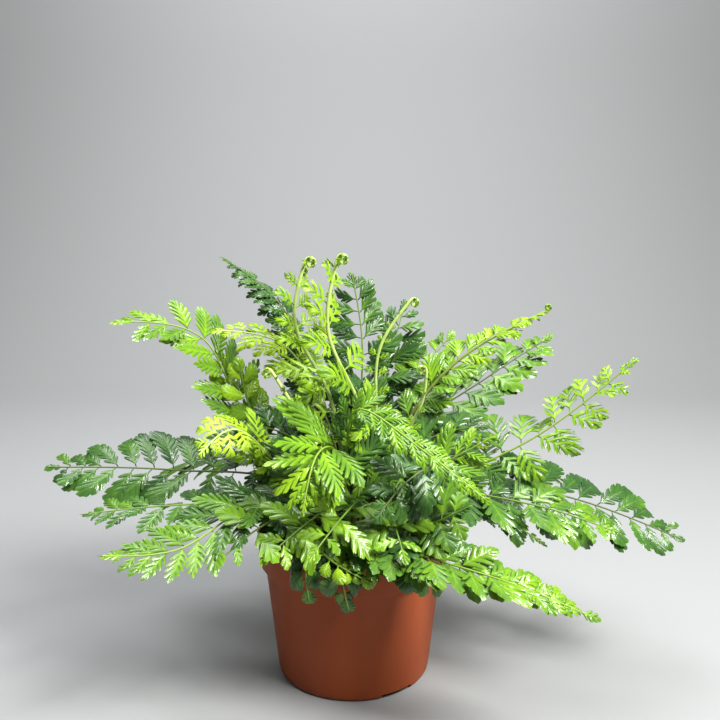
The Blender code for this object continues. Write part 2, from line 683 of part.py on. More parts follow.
def make_frond(collection, frond, sheet, material):
    obj = new_object(f"frond_{frond.name}", collection, sheet.points, [], sheet.faces, material)
    group = obj.vertex_groups.new(name="thickness")
    for number, share in enumerate(sheet.shares):
        group.add([number], share, "REPLACE")
    shell = obj.modifiers.new("Thickness", "SOLIDIFY")
    shell.thickness = RIB_THICKNESS
    shell.offset = 0
    shell.vertex_group = group.name
    shell.thickness_vertex_group = 0
    return obj


def main():
    remove_scene_objects()
    parts = new_collection("Potted Spleenwort", hidden=False)
    drains = new_collection("Drain Cutters", hidden=True)
    holes = new_collection("Stem Hole Cutters", hidden=True)
    bases = stem_bases()
    fixed = [make_pot(parts, drains), make_soil(parts, holes, bases)]
    graph = bpy.context.evaluated_depsgraph_get()
    trees = [BVHTree.FromObject(obj, graph) for obj in fixed]
    ribs = [Rib(frond, path) for frond, path in zip(FRONDS, rib_paths(bases))]
    stems = [joined([rib.solid()]) for rib in ribs]
    draw = np.random.default_rng(SEED)
    for number, (frond, rib) in enumerate(zip(FRONDS, ribs)):
        others = trees + stems[:number] + stems[number + 1 :]
        sheet, shapes = frond_sheet(rib, frond, draw, others)
        trees.append(joined(shapes))
        make_frond(parts, frond, sheet, plain_material(f"Leaf {frond.name}", frond.kind.colour, 0.45))


main()
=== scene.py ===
import json
import math
from dataclasses import dataclass

import bpy
import numpy as np
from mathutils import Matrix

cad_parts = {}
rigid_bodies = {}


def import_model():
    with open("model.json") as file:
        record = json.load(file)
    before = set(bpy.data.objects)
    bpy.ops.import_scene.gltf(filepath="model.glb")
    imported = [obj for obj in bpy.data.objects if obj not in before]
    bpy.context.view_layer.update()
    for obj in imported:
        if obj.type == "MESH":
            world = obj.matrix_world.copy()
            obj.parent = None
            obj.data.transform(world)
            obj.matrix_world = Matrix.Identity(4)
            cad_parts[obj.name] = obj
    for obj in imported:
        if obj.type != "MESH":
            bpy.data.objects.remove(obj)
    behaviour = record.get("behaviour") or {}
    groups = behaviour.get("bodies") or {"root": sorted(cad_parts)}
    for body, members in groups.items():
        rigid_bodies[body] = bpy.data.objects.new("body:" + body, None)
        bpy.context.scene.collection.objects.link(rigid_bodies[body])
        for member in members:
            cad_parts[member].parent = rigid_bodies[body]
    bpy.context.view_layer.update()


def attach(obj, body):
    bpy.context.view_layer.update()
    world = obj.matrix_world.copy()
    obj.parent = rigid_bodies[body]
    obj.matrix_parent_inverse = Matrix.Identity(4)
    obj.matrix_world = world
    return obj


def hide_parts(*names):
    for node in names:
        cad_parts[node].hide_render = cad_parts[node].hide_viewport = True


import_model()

# Camera: a little above the top of the plant and half a metre in front of it, looking slightly down,
# with a lens that takes in the whole spread of the fronds.
CAMERA_PLACE = (0.0041, -0.507, 0.291)
CAMERA_DIP = 10.4
CAMERA_LENS = 42.5
CAMERA_NEAREST = 0.01
camera = bpy.data.objects.new("camera", bpy.data.cameras.new("camera"))
camera.location = CAMERA_PLACE
camera.rotation_euler = (math.radians(90 - CAMERA_DIP), 0, 0)
camera.data.lens = CAMERA_LENS
camera.data.clip_start = CAMERA_NEAREST
bpy.context.scene.collection.objects.link(camera)
bpy.context.scene.camera = camera

# Studio: a pale sheet that lies under the pot and rises behind it in one wide curve, in a dim grey
# room. The main light comes from the upper right, a broader one from above and a weak one from the
# left, and one more lights the sheet alone.
STUDIO_WIDTH = 5.0
STUDIO_FRONT = -1.6
STUDIO_BEND = 0.75
STUDIO_BEND_RADIUS = 0.6
STUDIO_BEND_STEPS = 16
STUDIO_HEIGHT = 3.0
PAPER = (0.31, 0.32, 0.325, 1)
ROOM_GREY = (0.90, 0.92, 0.94, 1)
ROOM_BRIGHTNESS = 0.03
WARM_WHITE = (1.0, 0.98, 0.95)
PLANT_MIDDLE = (0, 0, 0.15)
SHEET_MIDDLE = (0, 1.35, 0.7)


def grid_faces(rows, columns, ring=False):
    """The quads of a grid of points kept row by row: each point, its neighbour in the next row, that
    one's neighbour in the next column and the point's own. A ring's last column meets its first."""
    row, column = np.meshgrid(np.arange(rows - 1), np.arange(columns - (not ring)), indexing="ij")
    beside = (column + 1) % columns
    corners = [(row, column), (row + 1, column), (row + 1, beside), (row, beside)]
    return np.stack([r * columns + c for r, c in corners], axis=-1).reshape(-1, 4)


def new_piece(name, points, faces, materials, sharp=40):
    """An object of these points and faces, at the origin, smooth except at edges past the sharp angle."""
    mesh = bpy.data.meshes.new(name)
    mesh.from_pydata(points, [], faces)
    for material in materials:
        mesh.materials.append(material)
    mesh.shade_smooth()
    mesh.set_sharp_from_angle(angle=math.radians(sharp))
    piece = bpy.data.objects.new(name, mesh)
    bpy.context.scene.collection.objects.link(piece)
    return piece


class Finish:
    """A material, built by short calls that each add one node and give its first useful output."""

    def __init__(self, name):
        self.material = bpy.data.materials.new(name)
        self.material.use_nodes = True
        self.tree = self.material.node_tree
        self.shader = self.tree.nodes["Principled BSDF"]

    def put(self, socket, value):
        """Links another node's output to the socket, or sets the socket to a constant."""
        if isinstance(value, bpy.types.NodeSocket):
            self.tree.links.new(value, socket)
        elif value is not None:
            socket.default_value = value

    def add(self, kind, *values, output=0, **settings):
        """One node: its settings by name, and its inputs in order, None for those left alone."""
        node = self.tree.nodes.new(f"ShaderNode{kind}")
        for setting, value in settings.items():
            setattr(node, setting, value)
        for socket, value in zip(node.inputs, values):
            self.put(socket, value)
        return node.outputs[output]

    def place(self):
        """Where a point of the piece is, in metres."""
        return self.add("TexCoord", output=3)

    def value(self, attribute):
        """A number that the mesh keeps for each point."""
        return self.add("Attribute", attribute_name=attribute, output=2)

    def maths(self, operation, first, second=None):
        """One step of arithmetic, on one number or two."""
        return self.add("Math", first, second, operation=operation)

    def between(self, value, low, high, to_low=0.0, to_high=1.0):
        """The value's share of the way from low to high, as a number from to_low to to_high."""
        return self.add("MapRange", value, float(low), float(high), float(to_low), float(to_high))

    def noise(self, scale, detail=2.0, shares=(1, 1, 1)):
        """Cloudy noise from 0 to 1, with this many clouds to the metre, or this share of it on an axis."""
        place = self.add("Mapping", self.place(), None, None, shares)
        return self.add("TexNoise", place, None, scale, detail)

    def blend(self, share, first, second):
        """The first colour, going over to the second as share goes from 0 to 1."""
        node = self.tree.nodes.new("ShaderNodeMix")
        node.data_type = "RGBA"
        self.put(node.inputs[0], share)
        self.put(node.inputs[6], first)
        self.put(node.inputs[7], second)
        return node.outputs[2]

    def ramp(self, value, stops):
        """The colour at this value, from stops of a number and its colour."""
        node = self.tree.nodes.new("ShaderNodeValToRGB")
        self.put(node.inputs[0], value)
        for _ in stops[2:]:
            node.color_ramp.elements.new(0.5)
        for element, (place, colour) in zip(node.color_ramp.elements, stops):
            element.position, element.color = place, colour
        return node.outputs[0]

    def bump(self, height, depth):
        """Relief of this height pattern, as deep as depth in metres."""
        return self.add("Bump", 1.0, depth, None, height)

    def surface(self, **values):
        """Sets the shader's inputs, with _ for a blank in their names."""
        for name, value in values.items():
            self.put(self.shader.inputs[name.replace("_", " ")], value)
        return self.material


def studio_sheet():
    """The sheet's cross-section is a straight run, a quarter circle and a straight rise, drawn sideways."""
    turn = np.linspace(0, math.pi / 2, STUDIO_BEND_STEPS)
    bend = STUDIO_BEND + STUDIO_BEND_RADIUS * np.sin(turn)
    across = [STUDIO_FRONT, *bend, bend[-1]]
    height = [0, *(STUDIO_BEND_RADIUS * (1 - np.cos(turn))), STUDIO_HEIGHT]
    section = np.stack([np.zeros(len(across)), across, height], axis=1)
    side = np.array([STUDIO_WIDTH / 2, 0, 0])
    points = np.stack([section + side, section - side], axis=1).reshape(-1, 3)
    return points, grid_faces(len(section), 2)


paper = Finish("studio_paper").surface(Base_Color=PAPER, Roughness=0.9)
sheet = new_piece("studio_sheet", *studio_sheet(), [paper])


def soft_light(name, place, target, size, power, colour=(1, 1, 1)):
    """A square light of this size that faces the target."""
    light = bpy.data.objects.new(name, bpy.data.lights.new(name, "AREA"))
    light.data.size = size
    light.data.energy = power
    light.data.color = colour
    light.location = place
    direction = np.array(target) - np.array(place)
    light.rotation_euler = (
        math.atan2(math.hypot(direction[0], direction[1]), -direction[2]),
        0,
        math.atan2(direction[1], direction[0]) - math.pi / 2,
    )
    bpy.context.scene.collection.objects.link(light)


soft_light("key_light", (0.60, -0.50, 0.98), PLANT_MIDDLE, size=0.40, power=31, colour=WARM_WHITE)
soft_light("top_light", (-0.25, 0.10, 1.20), PLANT_MIDDLE, size=0.6, power=14)
soft_light("left_light", (-1.10, -0.70, 0.80), PLANT_MIDDLE, size=0.9, power=1.5)
soft_light("sheet_light", (0, 0.60, 1.2), SHEET_MIDDLE, size=0.8, power=11)
world = bpy.data.worlds.new("grey_room")
world.use_nodes = True
world.node_tree.nodes["Background"].inputs["Color"].default_value = ROOM_GREY
world.node_tree.nodes["Background"].inputs["Strength"].default_value = ROOM_BRIGHTNESS
bpy.context.scene.world = world
bpy.context.scene.view_settings.view_transform = "Standard"

# Pot: a 12 cm nursery pot of terracotta-brown polypropylene, moulded in one piece, with a wider band
# under the rim, a rolled lip, a rounded foot and three low drain slots in the foot.
POT_HEIGHT = 0.090
RIM_RADIUS = 0.060
BAND_HEIGHT = 0.0185
BAND_FOOT_RADIUS = 0.0586
WALL_TOP_RADIUS = 0.0554
FOOT_RADIUS = 0.048
FOOT_RING = 0.6
FOOT_ROUNDING = 0.003
WALL = 0.0013
FLOOR = 0.0018
LIP = 0.0006
BAND_FILLET = 0.0009
WALL_STOP = 0.0015
WALL_RINGS = (0.02, 0.34, 0.66, 0.98)
POT_SIDES = 144
POT_SHARP_ANGLE = 35
DRAIN_ANGLES = (34.0, 154.0, 274.0)
DRAIN_SIZE = (0.022, 0.016, 0.006)
TERRACOTTA_DARK = (0.270, 0.056, 0.016, 1)
TERRACOTTA_LIGHT = (0.320, 0.070, 0.022, 1)
TERRACOTTA_SPECK = (0.16, 0.060, 0.035, 1)
POT_GRAIN = 0.00006
POT_SHINE = 0.15


def arc(middle, radius, start, end, steps):
    """Points (radius, height) on a circle round middle, from one angle in degrees to another."""
    turn = np.radians(np.linspace(start, end, steps))
    return [(middle[0] + radius * math.cos(a), middle[1] + radius * math.sin(a)) for a in turn]


def triangles_of(quads):
    """Two triangles for each quad, without those that have a corner twice."""
    triangles = np.concatenate([quads[:, [0, 1, 2]], quads[:, [0, 2, 3]]])
    a, b, c = triangles.T
    return triangles[(a != b) & (b != c) & (c != a)]


def welded(points, quads):
    """The same surface in triangles, with points that share a place made one and empty faces dropped."""
    _, first, number = np.unique(points.round(8), axis=0, return_index=True, return_inverse=True)
    return points[first], triangles_of(number.ravel()[quads])


def turned(profile, sides):
    """The surface that a profile (radius, height) sweeps round the Z axis, with each pole as one point."""
    turn = np.arange(sides) * 2 * math.pi / sides
    radius, height = np.array(profile).T
    x, y = radius[:, None] * np.sin(turn), -radius[:, None] * np.cos(turn)
    points = np.stack([x, y, np.repeat(height[:, None], sides, axis=1)], axis=-1).reshape(-1, 3)
    return welded(points, grid_faces(len(profile), sides, ring=True))


def inner_wall(inset):
    """The inside of the pot from the rim down to the floor's edge, moved inwards by inset."""
    band_foot = POT_HEIGHT - BAND_HEIGHT
    floor_edge = (FOOT_RADIUS - WALL - FOOT_ROUNDING, FLOOR + FOOT_ROUNDING)
    return [
        (RIM_RADIUS - WALL - inset, POT_HEIGHT - LIP),
        (BAND_FOOT_RADIUS - WALL - inset, band_foot + 2 * WALL),
        (WALL_TOP_RADIUS - WALL - inset, band_foot + WALL),
        *arc(floor_edge, FOOT_ROUNDING - inset, 0, -90, 6),
    ]


def pot_profile():
    """The pot's cut edge, from under the middle of its foot, up outside, over the lip and down inside."""
    band_foot = POT_HEIGHT - BAND_HEIGHT
    wall_height = band_foot - FOOT_ROUNDING - WALL_STOP
    flare = WALL_TOP_RADIUS - FOOT_RADIUS
    return [
        (0, 0),
        (FOOT_RING * FOOT_RADIUS, 0),
        *arc((FOOT_RADIUS - FOOT_ROUNDING, FOOT_ROUNDING), FOOT_ROUNDING, -90, 0, 7),
        *[(FOOT_RADIUS + flare * share, FOOT_ROUNDING + wall_height * share) for share in WALL_RINGS],
        *arc((WALL_TOP_RADIUS + BAND_FILLET, band_foot - BAND_FILLET), BAND_FILLET, 180, 90, 4),
        *arc((BAND_FOOT_RADIUS - LIP, band_foot + LIP), LIP, -90, -4, 5),
        *arc((RIM_RADIUS - LIP, POT_HEIGHT - LIP), LIP, -4, 90, 5),
        *arc((RIM_RADIUS - WALL + LIP, POT_HEIGHT - LIP), LIP, 90, 180, 5),
        *inner_wall(0)[1:],
        (0, FLOOR),
    ]


def cut_drains(pot):
    """Takes a low box out of the foot at each drain angle, and leaves the result as the pot's mesh. The
    box's axes, along the wall, outwards and up, are right-handed, so its faces point outwards."""
    cutters = bpy.data.collections.new("drain_cutters")
    bpy.context.scene.collection.children.link(cutters)
    box = np.array([(x, y, z) for x in (-0.5, 0.5) for y in (-0.5, 0.5) for z in (-0.5, 0.5)]) * DRAIN_SIZE
    faces = [(0, 1, 3, 2), (4, 6, 7, 5), (0, 4, 5, 1), (2, 3, 7, 6), (0, 2, 6, 4), (1, 5, 7, 3)]
    for angle in DRAIN_ANGLES:
        turn = math.radians(angle)
        outward = np.array([math.sin(turn), -math.cos(turn), 0])
        along = np.array([-math.cos(turn), -math.sin(turn), 0])
        points = box[:, :1] * along + (box[:, 1:2] + FOOT_RADIUS) * outward + box[:, 2:] * [0, 0, 1]
        cutter = new_piece(f"drain_{angle:.0f}", points, faces, [])
        bpy.context.scene.collection.objects.unlink(cutter)
        cutters.objects.link(cutter)
    cut = pot.modifiers.new("drains", "BOOLEAN")
    cut.operand_type = "COLLECTION"
    cut.collection = cutters
    graph = bpy.context.evaluated_depsgraph_get()
    pot.data = bpy.data.meshes.new_from_object(pot.evaluated_get(graph))
    pot.modifiers.clear()
    for cutter in list(cutters.objects):
        bpy.data.objects.remove(cutter, do_unlink=True)
    bpy.data.collections.remove(cutters)
    pot.data.shade_smooth()
    pot.data.set_sharp_from_angle(angle=math.radians(POT_SHARP_ANGLE))


def terracotta_plastic():
    """Clouds of two browns drawn out upwards, a few patches of dark specks, and a satin, grainy skin."""
    finish = Finish("terracotta_plastic")
    flow = finish.noise(28.0, 3.0, (1, 1, 0.25))
    colour = finish.blend(finish.between(flow, 0.3, 0.7), TERRACOTTA_DARK, TERRACOTTA_LIGHT)
    specks = finish.between(finish.noise(950.0, 1.0), 0.66, 0.72)
    marks = finish.maths("MULTIPLY", specks, finish.between(finish.noise(60.0, 2.0), 0.5, 0.7, 0, 0.5))
    colour = finish.blend(marks, colour, TERRACOTTA_SPECK)
    rough = finish.between(finish.noise(90.0, 4.0, (1, 1, 0.4)), 0.3, 0.7, 0.40, 0.55)
    grain = finish.bump(finish.noise(1500.0, 2.0), POT_GRAIN)
    return finish.surface(Base_Color=colour, Roughness=rough, Normal=grain, Specular_IOR_Level=POT_SHINE)


pot = new_piece("nursery_pot", *turned(pot_profile(), POT_SIDES), [terracotta_plastic()])
cut_drains(pot)
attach(pot, "root")
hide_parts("pot")

# Soil: dark peat pressed into the pot up to a few millimetres below the rim and heaped a little round
# the crown, with loose crumbs and bits of bark on top. It fills the pot and fits its wall.
CLEARANCE = 0.0003
SOIL_TOP = 0.083
SOIL_FLARE = 0.0004
SOIL_DOME = 0.003
SOIL_LUMPS = 0.0035
SOIL_SIDES = 120
SOIL_RINGS = 26
SOIL_SHARP_ANGLE = 60
CRUMBS = 520
CRUMB_SIDES = 7
CRUMB_RINGS = 6
CRUMB_REACH = RIM_RADIUS - 2.6 * WALL
CRUMB_SIZE = (0.0005, 0.0017)
CRUMB_STRETCH = (0.6, 1.4)
CRUMB_WOBBLE = (0.7, 1.25)
CRUMB_LIFT = 0.0002
PEAT_DARK = (0.010, 0.007, 0.005, 1)
PEAT_LIGHT = (0.036, 0.023, 0.015, 1)
BARK = (0.090, 0.050, 0.026, 1)
PEAT_GRAIN = 0.0008


def lump(points):
    """How far the soil stands above or below its even height: a few crossed waves, coarse and fine, with
    so many radians to the metre."""
    x, y = points[..., 0], points[..., 1]
    coarse = np.sin(310 * x + 1.3) * np.cos(270 * y) + 0.7 * np.sin(190 * (x + y)) * np.cos(230 * (x - y))
    fine = np.sin(1130 * x + 3 * np.sin(700 * y)) * np.cos(970 * y + 2 * np.sin(820 * x))
    return SOIL_LUMPS * (coarse / 3.4 + 0.12 * fine)


def soil_height(points):
    """The even height of the soil, highest at the middle, plus its lumps."""
    radius = np.linalg.norm(points[..., :2], axis=-1)
    return SOIL_TOP + SOIL_DOME * (1 - (radius / RIM_RADIUS) ** 2) + lump(points)


def soil_body():
    """The soil's side follows the pot's inner wall, and its top is rings raised to the soil's height."""
    outside = inner_wall(CLEARANCE)[1:]
    rings = np.linspace(0, outside[0][0] + SOIL_FLARE, SOIL_RINGS)
    profile = [(0, outside[-1][1]), *reversed(outside), *[(radius, SOIL_TOP) for radius in rings[::-1]]]
    points, faces = turned(profile, SOIL_SIDES)
    on_top = points[:, 2] >= SOIL_TOP - 1e-6
    points[on_top, 2] = soil_height(points[on_top])
    return points, faces


def crumbs(draw):
    """Small lumpy ellipsoids strewn on the soil: a sphere's points, each pushed in or out at random."""
    polar = np.linspace(0, math.pi, CRUMB_RINGS)
    turn = np.arange(CRUMB_SIDES) * 2 * math.pi / CRUMB_SIDES
    ball = np.stack(
        [np.outer(np.sin(polar), np.cos(turn)), np.outer(np.sin(polar), np.sin(turn)),
         np.outer(np.cos(polar), np.ones(CRUMB_SIDES))], axis=-1)
    wobble = draw.uniform(*CRUMB_WOBBLE, (CRUMBS, CRUMB_RINGS, CRUMB_SIDES, 1))
    wobble[:, [0, -1]] = 1
    size = draw.uniform(*CRUMB_SIZE, (CRUMBS, 1, 1, 1)) * draw.uniform(*CRUMB_STRETCH, (CRUMBS, 1, 1, 3))
    radius = CRUMB_REACH * np.sqrt(draw.uniform(0, 0.95, CRUMBS))
    angle = draw.uniform(0, 2 * math.pi, CRUMBS)
    middle = np.stack([radius * np.cos(angle), radius * np.sin(angle), np.zeros(CRUMBS)], axis=-1)
    middle[:, 2] = soil_height(middle) + CRUMB_LIFT
    points = (ball * wobble * size + middle[:, None, None]).reshape(CRUMBS, -1, 3)
    faces = grid_faces(CRUMB_RINGS, CRUMB_SIDES, ring=True)
    faces = faces[None] + (np.arange(CRUMBS) * CRUMB_RINGS * CRUMB_SIDES)[:, None, None]
    points, faces = welded(points.reshape(-1, 3), faces.reshape(-1, 4))
    return points, faces[:, ::-1]


def peat():
    """Fine grain from dark to light, with scattered bits of the bark's brown."""
    finish = Finish("peat")
    grain = finish.noise(900.0, 4.0)
    bits = finish.between(finish.noise(420.0, 1.0), 0.58, 0.64)
    colour = finish.blend(finish.between(grain, 0.35, 0.7), PEAT_DARK, PEAT_LIGHT)
    colour = finish.blend(bits, colour, BARK)
    return finish.surface(Base_Color=colour, Roughness=0.92, Normal=finish.bump(grain, PEAT_GRAIN))


soil_points, soil_faces = soil_body()
crumb_points, crumb_faces = crumbs(np.random.default_rng(3))
soil = new_piece(
    "peat_soil",
    np.vstack([soil_points, crumb_points]),
    np.vstack([soil_faces, crumb_faces + len(soil_points)]),
    [peat()],
    sharp=SOIL_SHARP_ANGLE,
)
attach(soil, "root")
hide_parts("soil")

# Fronds: each is one leaf that grew from the crown, a stalk with a row of cut leaflets on each side.
# Old ones are dark and leathery, young ones lime and still rolled up at their tips, and the inner and
# shaded ones are darker still, partly as painted shade. They stand in the soil and arch out over the rim.
# First come the leaflets' forms, then the kinds of frond.
FINGER = ((0, 1, 0, 0), (0.06, 0.62, 0, 0.02), (0.11, 0.26, 0, -0.02), (0.20, 0.06, 0, -0.04),
          (0.32, 0, 0, -0.02), (0.42, 0.05, 1, 0), (0.52, 0.08, 0, 0.03), (0.66, 0.24, 0, 0.07),
          (0.78, 0.46, 0, 0.08), (0.90, 0.74, 0, 0.03))
WEDGE = ((0, 1, 0, 0), (0.22, 0.97, 0, 0), (0.30, 0.62, 0, -0.04), (0.35, 0.24, 0, -0.20),
         (0.40, 0.06, 0, -0.28), (0.45, 0.10, 1, -0.16), (0.48, 0, 0, -0.08), (0.52, 0, 0, 0.06),
         (0.56, 0.10, 1, 0.18), (0.61, 0.02, 0, 0.32), (0.66, 0.24, 0, 0.26), (0.71, 0.62, 0, 0.08),
         (0.79, 0.97, 0, 0))
END = ((0, 1, 0, 0), (0.12, 0.45, 0, 0), (0.25, 0.12, 0, 0), (0.40, 0, 0, 0), (0.52, 0, 1, 0),
       (0.68, 0, 0, 0), (0.86, 0, 0, 0), (1, 0, 0.5, 0))


@dataclass
class Leaflet:
    """A form of leaflet. Its lobes lean forward from its midrib by slant degrees. Its half width is a
    share of its length, and the envelope gives the share of that along the midrib, as the cuts give
    their depth from the first cut to the last. A lobe's outline is rows of: place along the lobe, share
    of the cut beside it, share of its tooth, and shift. In metres, relief is how far a lobe rises between
    its cuts, louvre how far it tilts, and midrib the midrib's half thickness. In degrees, droop is how
    far the tip bends down, and fold how far the two halves stand up. Cup is how far the margins curl
    down, as a share of their reach, and stalk the leaflet's own stalk, as a share of its length."""

    lobes: int
    slant: float
    half_width: float
    envelope: tuple
    cuts: tuple
    tooth: float
    lobe: tuple = FINGER
    relief: float = 0.0006
    louvre: float = 0.0002
    droop: float = 26
    fold: float = 8
    cup: float = 0.12
    stalk: float = 0.06
    midrib: float = 0.00038


FINGERED = Leaflet(5, 40, 0.24, ((0, 0.90), (0.30, 1), (0.70, 0.80), (1, 0.50)),
                   ((0, 0.92), (0.50, 0.62), (1, 0.40)), 0.06)
LANCE = Leaflet(6, 38, 0.21, ((0, 0.85), (0.30, 1), (0.70, 0.85), (1, 0.50)),
                ((0, 0.92), (0.50, 0.72), (1, 0.45)), 0.07, droop=16)
HAND = Leaflet(4, 36, 0.30, ((0, 0.75), (0.40, 1), (0.75, 0.85), (1, 0.60)), ((0, 0.92), (1, 0.62)), 0.10,
               louvre=0.0004, stalk=0.12)
SLENDER = Leaflet(7, 34, 0.17, ((0, 0.75), (0.35, 1), (0.75, 0.90), (1, 0.60)), ((0, 0.92), (1, 0.76)),
                  0.08, relief=0.0008, louvre=0.0004, droop=18)
BROAD = Leaflet(6, 42, 0.26, ((0, 0.62), (0.20, 0.66), (0.60, 1), (0.85, 0.85), (1, 0.55)),
                ((0, 0.96), (0.16, 0.80), (0.35, 0.34), (1, 0.22)), 0.03, relief=0.0003, louvre=0.0001,
                stalk=0.10)
LOBED = Leaflet(4, 46, 0.30, ((0, 0.90), (0.30, 1), (0.70, 0.80), (1, 0.55)),
                ((0, 0.92), (0.40, 0.62), (1, 0.35)), 0.06, droop=22, stalk=0.08)
OVAL = Leaflet(5, 42, 0.25, ((0, 0.70), (0.35, 1), (0.75, 0.85), (1, 0.55)),
               ((0, 0.80), (0.30, 0.50), (1, 0.30)), 0.04, droop=16, stalk=0.08)
FAN = Leaflet(5, 38, 0.36, ((0, 0.50), (0.55, 1), (1, 0.80)), ((0, 0.14), (1, 0.16)), 0.02,
              louvre=0.0001, stalk=0.14)
LACY = Leaflet(4, 48, 0.27, ((0, 0.90), (0.30, 1), (0.70, 0.85), (1, 0.60)), ((0, 1), (1, 0.90)), 0.22,
               lobe=WEDGE, stalk=0.08, midrib=0.00045)
AIRY = Leaflet(4, 48, 0.24, ((0, 0.90), (0.30, 1), (0.70, 0.85), (1, 0.60)), ((0, 1), (1, 0.94)), 0.25,
               lobe=WEDGE, stalk=0.12, midrib=0.00050)
HANGING = Leaflet(5, 40, 0.27, ((0, 0.90), (0.30, 1), (0.70, 0.80), (1, 0.50)),
                  ((0, 0.80), (0.50, 0.55), (1, 0.40)), 0.06, droop=64)
FRINGE = Leaflet(4, 38, 0.23, ((0, 0.80), (0.40, 1), (1, 0.70)), ((0, 0.70), (1, 0.50)), 0.05, relief=0.0008,
                 louvre=0.0005, fold=16, cup=0.25, stalk=0.04)
PLAIN = Leaflet(5, 52, 0.31, ((0, 0.45), (0.30, 0.88), (0.60, 1), (0.85, 0.85), (1, 0.55)),
                ((0, 0.07), (1, 0.10)), 0.02, relief=0.0002, louvre=0, droop=22, cup=0.30)
ROUND = Leaflet(5, 62, 0.40, ((0, 0.35), (0.30, 0.80), (0.60, 1), (0.85, 0.90), (1, 0.60)),
                ((0, 0.13), (1, 0.18)), 0.03, relief=0.0003, louvre=0, droop=45, cup=0.45, stalk=0.18)


@dataclass
class Kind:
    """A kind of frond: its leaflets, their spacing, the bare share of its stalk, its finish, the tone of its
    green at its foot and at its tip, both from 0 for the oldest to 1 for the newest and kept low in the
    inner and shaded kinds partly as painted shade, how far its leaflets lean forward, how far their tips
    roll under, both in degrees, how they shorten to the tip, how unruly they are, the radius of its coil,
    if it has one, and its stalk's radius."""

    leaflet: Leaflet
    spacing: float
    bare: float
    slot: str
    freshness_and_shade: tuple
    lean: float = 0
    roll: float = 0
    taper: float = 0.45
    loose: float = 1
    coil: float = 0
    stem: float = 0.0009


MATURE = Kind(BROAD, 0.0140, 0.20, "dark_leaf", (0.12, 0.20))
FANNED = Kind(LOBED, 0.0130, 0.22, "dark_leaf", (0.25, 0.36))
# The inner kind's dark green is partly painted shade: these fronds stand in the middle and at the back to
# darken the gaps between the others.
INNER = Kind(LOBED, 0.0130, 0.22, "dark_leaf", (0.02, 0.16))
BENT = Kind(LOBED, 0.0120, 0.52, "dark_leaf", (0.04, 0.20), taper=0.6)
TRAILING = Kind(HANGING, 0.0058, 0.22, "dark_leaf", (0.04, 0.22), loose=0.7)
FULL = Kind(LOBED, 0.0130, 0.20, "green_leaf", (0.10, 0.40))
ALONG_RIM = Kind(OVAL, 0.0180, 0.24, "green_leaf", (0.22, 0.52), lean=-10, taper=0.6)
# The shaded kind's dark green is partly painted shade, for the fronds behind the croziers.
SHADED = Kind(HAND, 0.0115, 0.22, "green_leaf", (0.05, 0.25), loose=1.8)
DARKER = Kind(FINGERED, 0.0120, 0.20, "green_leaf", (0.10, 0.30))
FANS = Kind(FAN, 0.0120, 0.22, "green_leaf", (0.25, 0.45))
SMALL = Kind(PLAIN, 0.0150, 0.34, "green_leaf", (0.42, 0.62), lean=10, taper=0.3)
JUVENILE = Kind(ROUND, 0.0092, 0.34, "green_leaf", (0.06, 0.24), taper=0.3, loose=1.4)
SPROUT = Kind(ROUND, 0.0080, 0.34, "green_leaf", (0.42, 0.66), taper=0.3, loose=1.6)
BRIGHT = Kind(LANCE, 0.0120, 0.20, "bright_leaf", (0.08, 0.50), lean=14, taper=0.65)
OPEN = Kind(LANCE, 0.0150, 0.22, "bright_leaf", (0.22, 0.50), lean=6, taper=0.5)
RUFFLED = Kind(LOBED, 0.0062, 0.16, "bright_leaf", (0.28, 0.48), lean=18, taper=0.7)
GLOSSY = Kind(SLENDER, 0.0110, 0.22, "bright_leaf", (0.24, 0.60), lean=15, taper=0.7)
NARROW = Kind(FRINGE, 0.0078, 0.40, "bright_leaf", (0.28, 0.48), lean=26, loose=0.4)
TIPPED = Kind(HAND, 0.0085, 0.24, "bright_leaf", (0.22, 0.76), lean=12, roll=160, taper=0.7, loose=1.4,
              coil=0.0018, stem=0.0011)
SPARSE = Kind(LACY, 0.0125, 0.36, "bright_leaf", (0.28, 0.58), roll=240, taper=0.6, loose=1.6)
YOUNG = Kind(LACY, 0.0100, 0.28, "lime_leaf", (0.62, 0.82), roll=120, loose=1.5)
LIME = Kind(AIRY, 0.0160, 0.26, "lime_leaf", (0.52, 0.68), roll=240, taper=0.55, loose=1.5,
            coil=0.0032, stem=0.0014)
COILED = Kind(AIRY, 0.0130, 0.34, "lime_leaf", (0.55, 0.60), roll=500, taper=0.9, coil=0.0028, stem=0.0012)


@dataclass
class Frond:
    """A frond: its kind, its longest leaflet, how far its face turns to the viewer, the points that its
    rib passes on its way to the tip, and, for a coiled one, the side that it winds to."""

    name: str
    kind: Kind
    reach: float
    face: float
    via: tuple
    tip: tuple
    curl: tuple = None


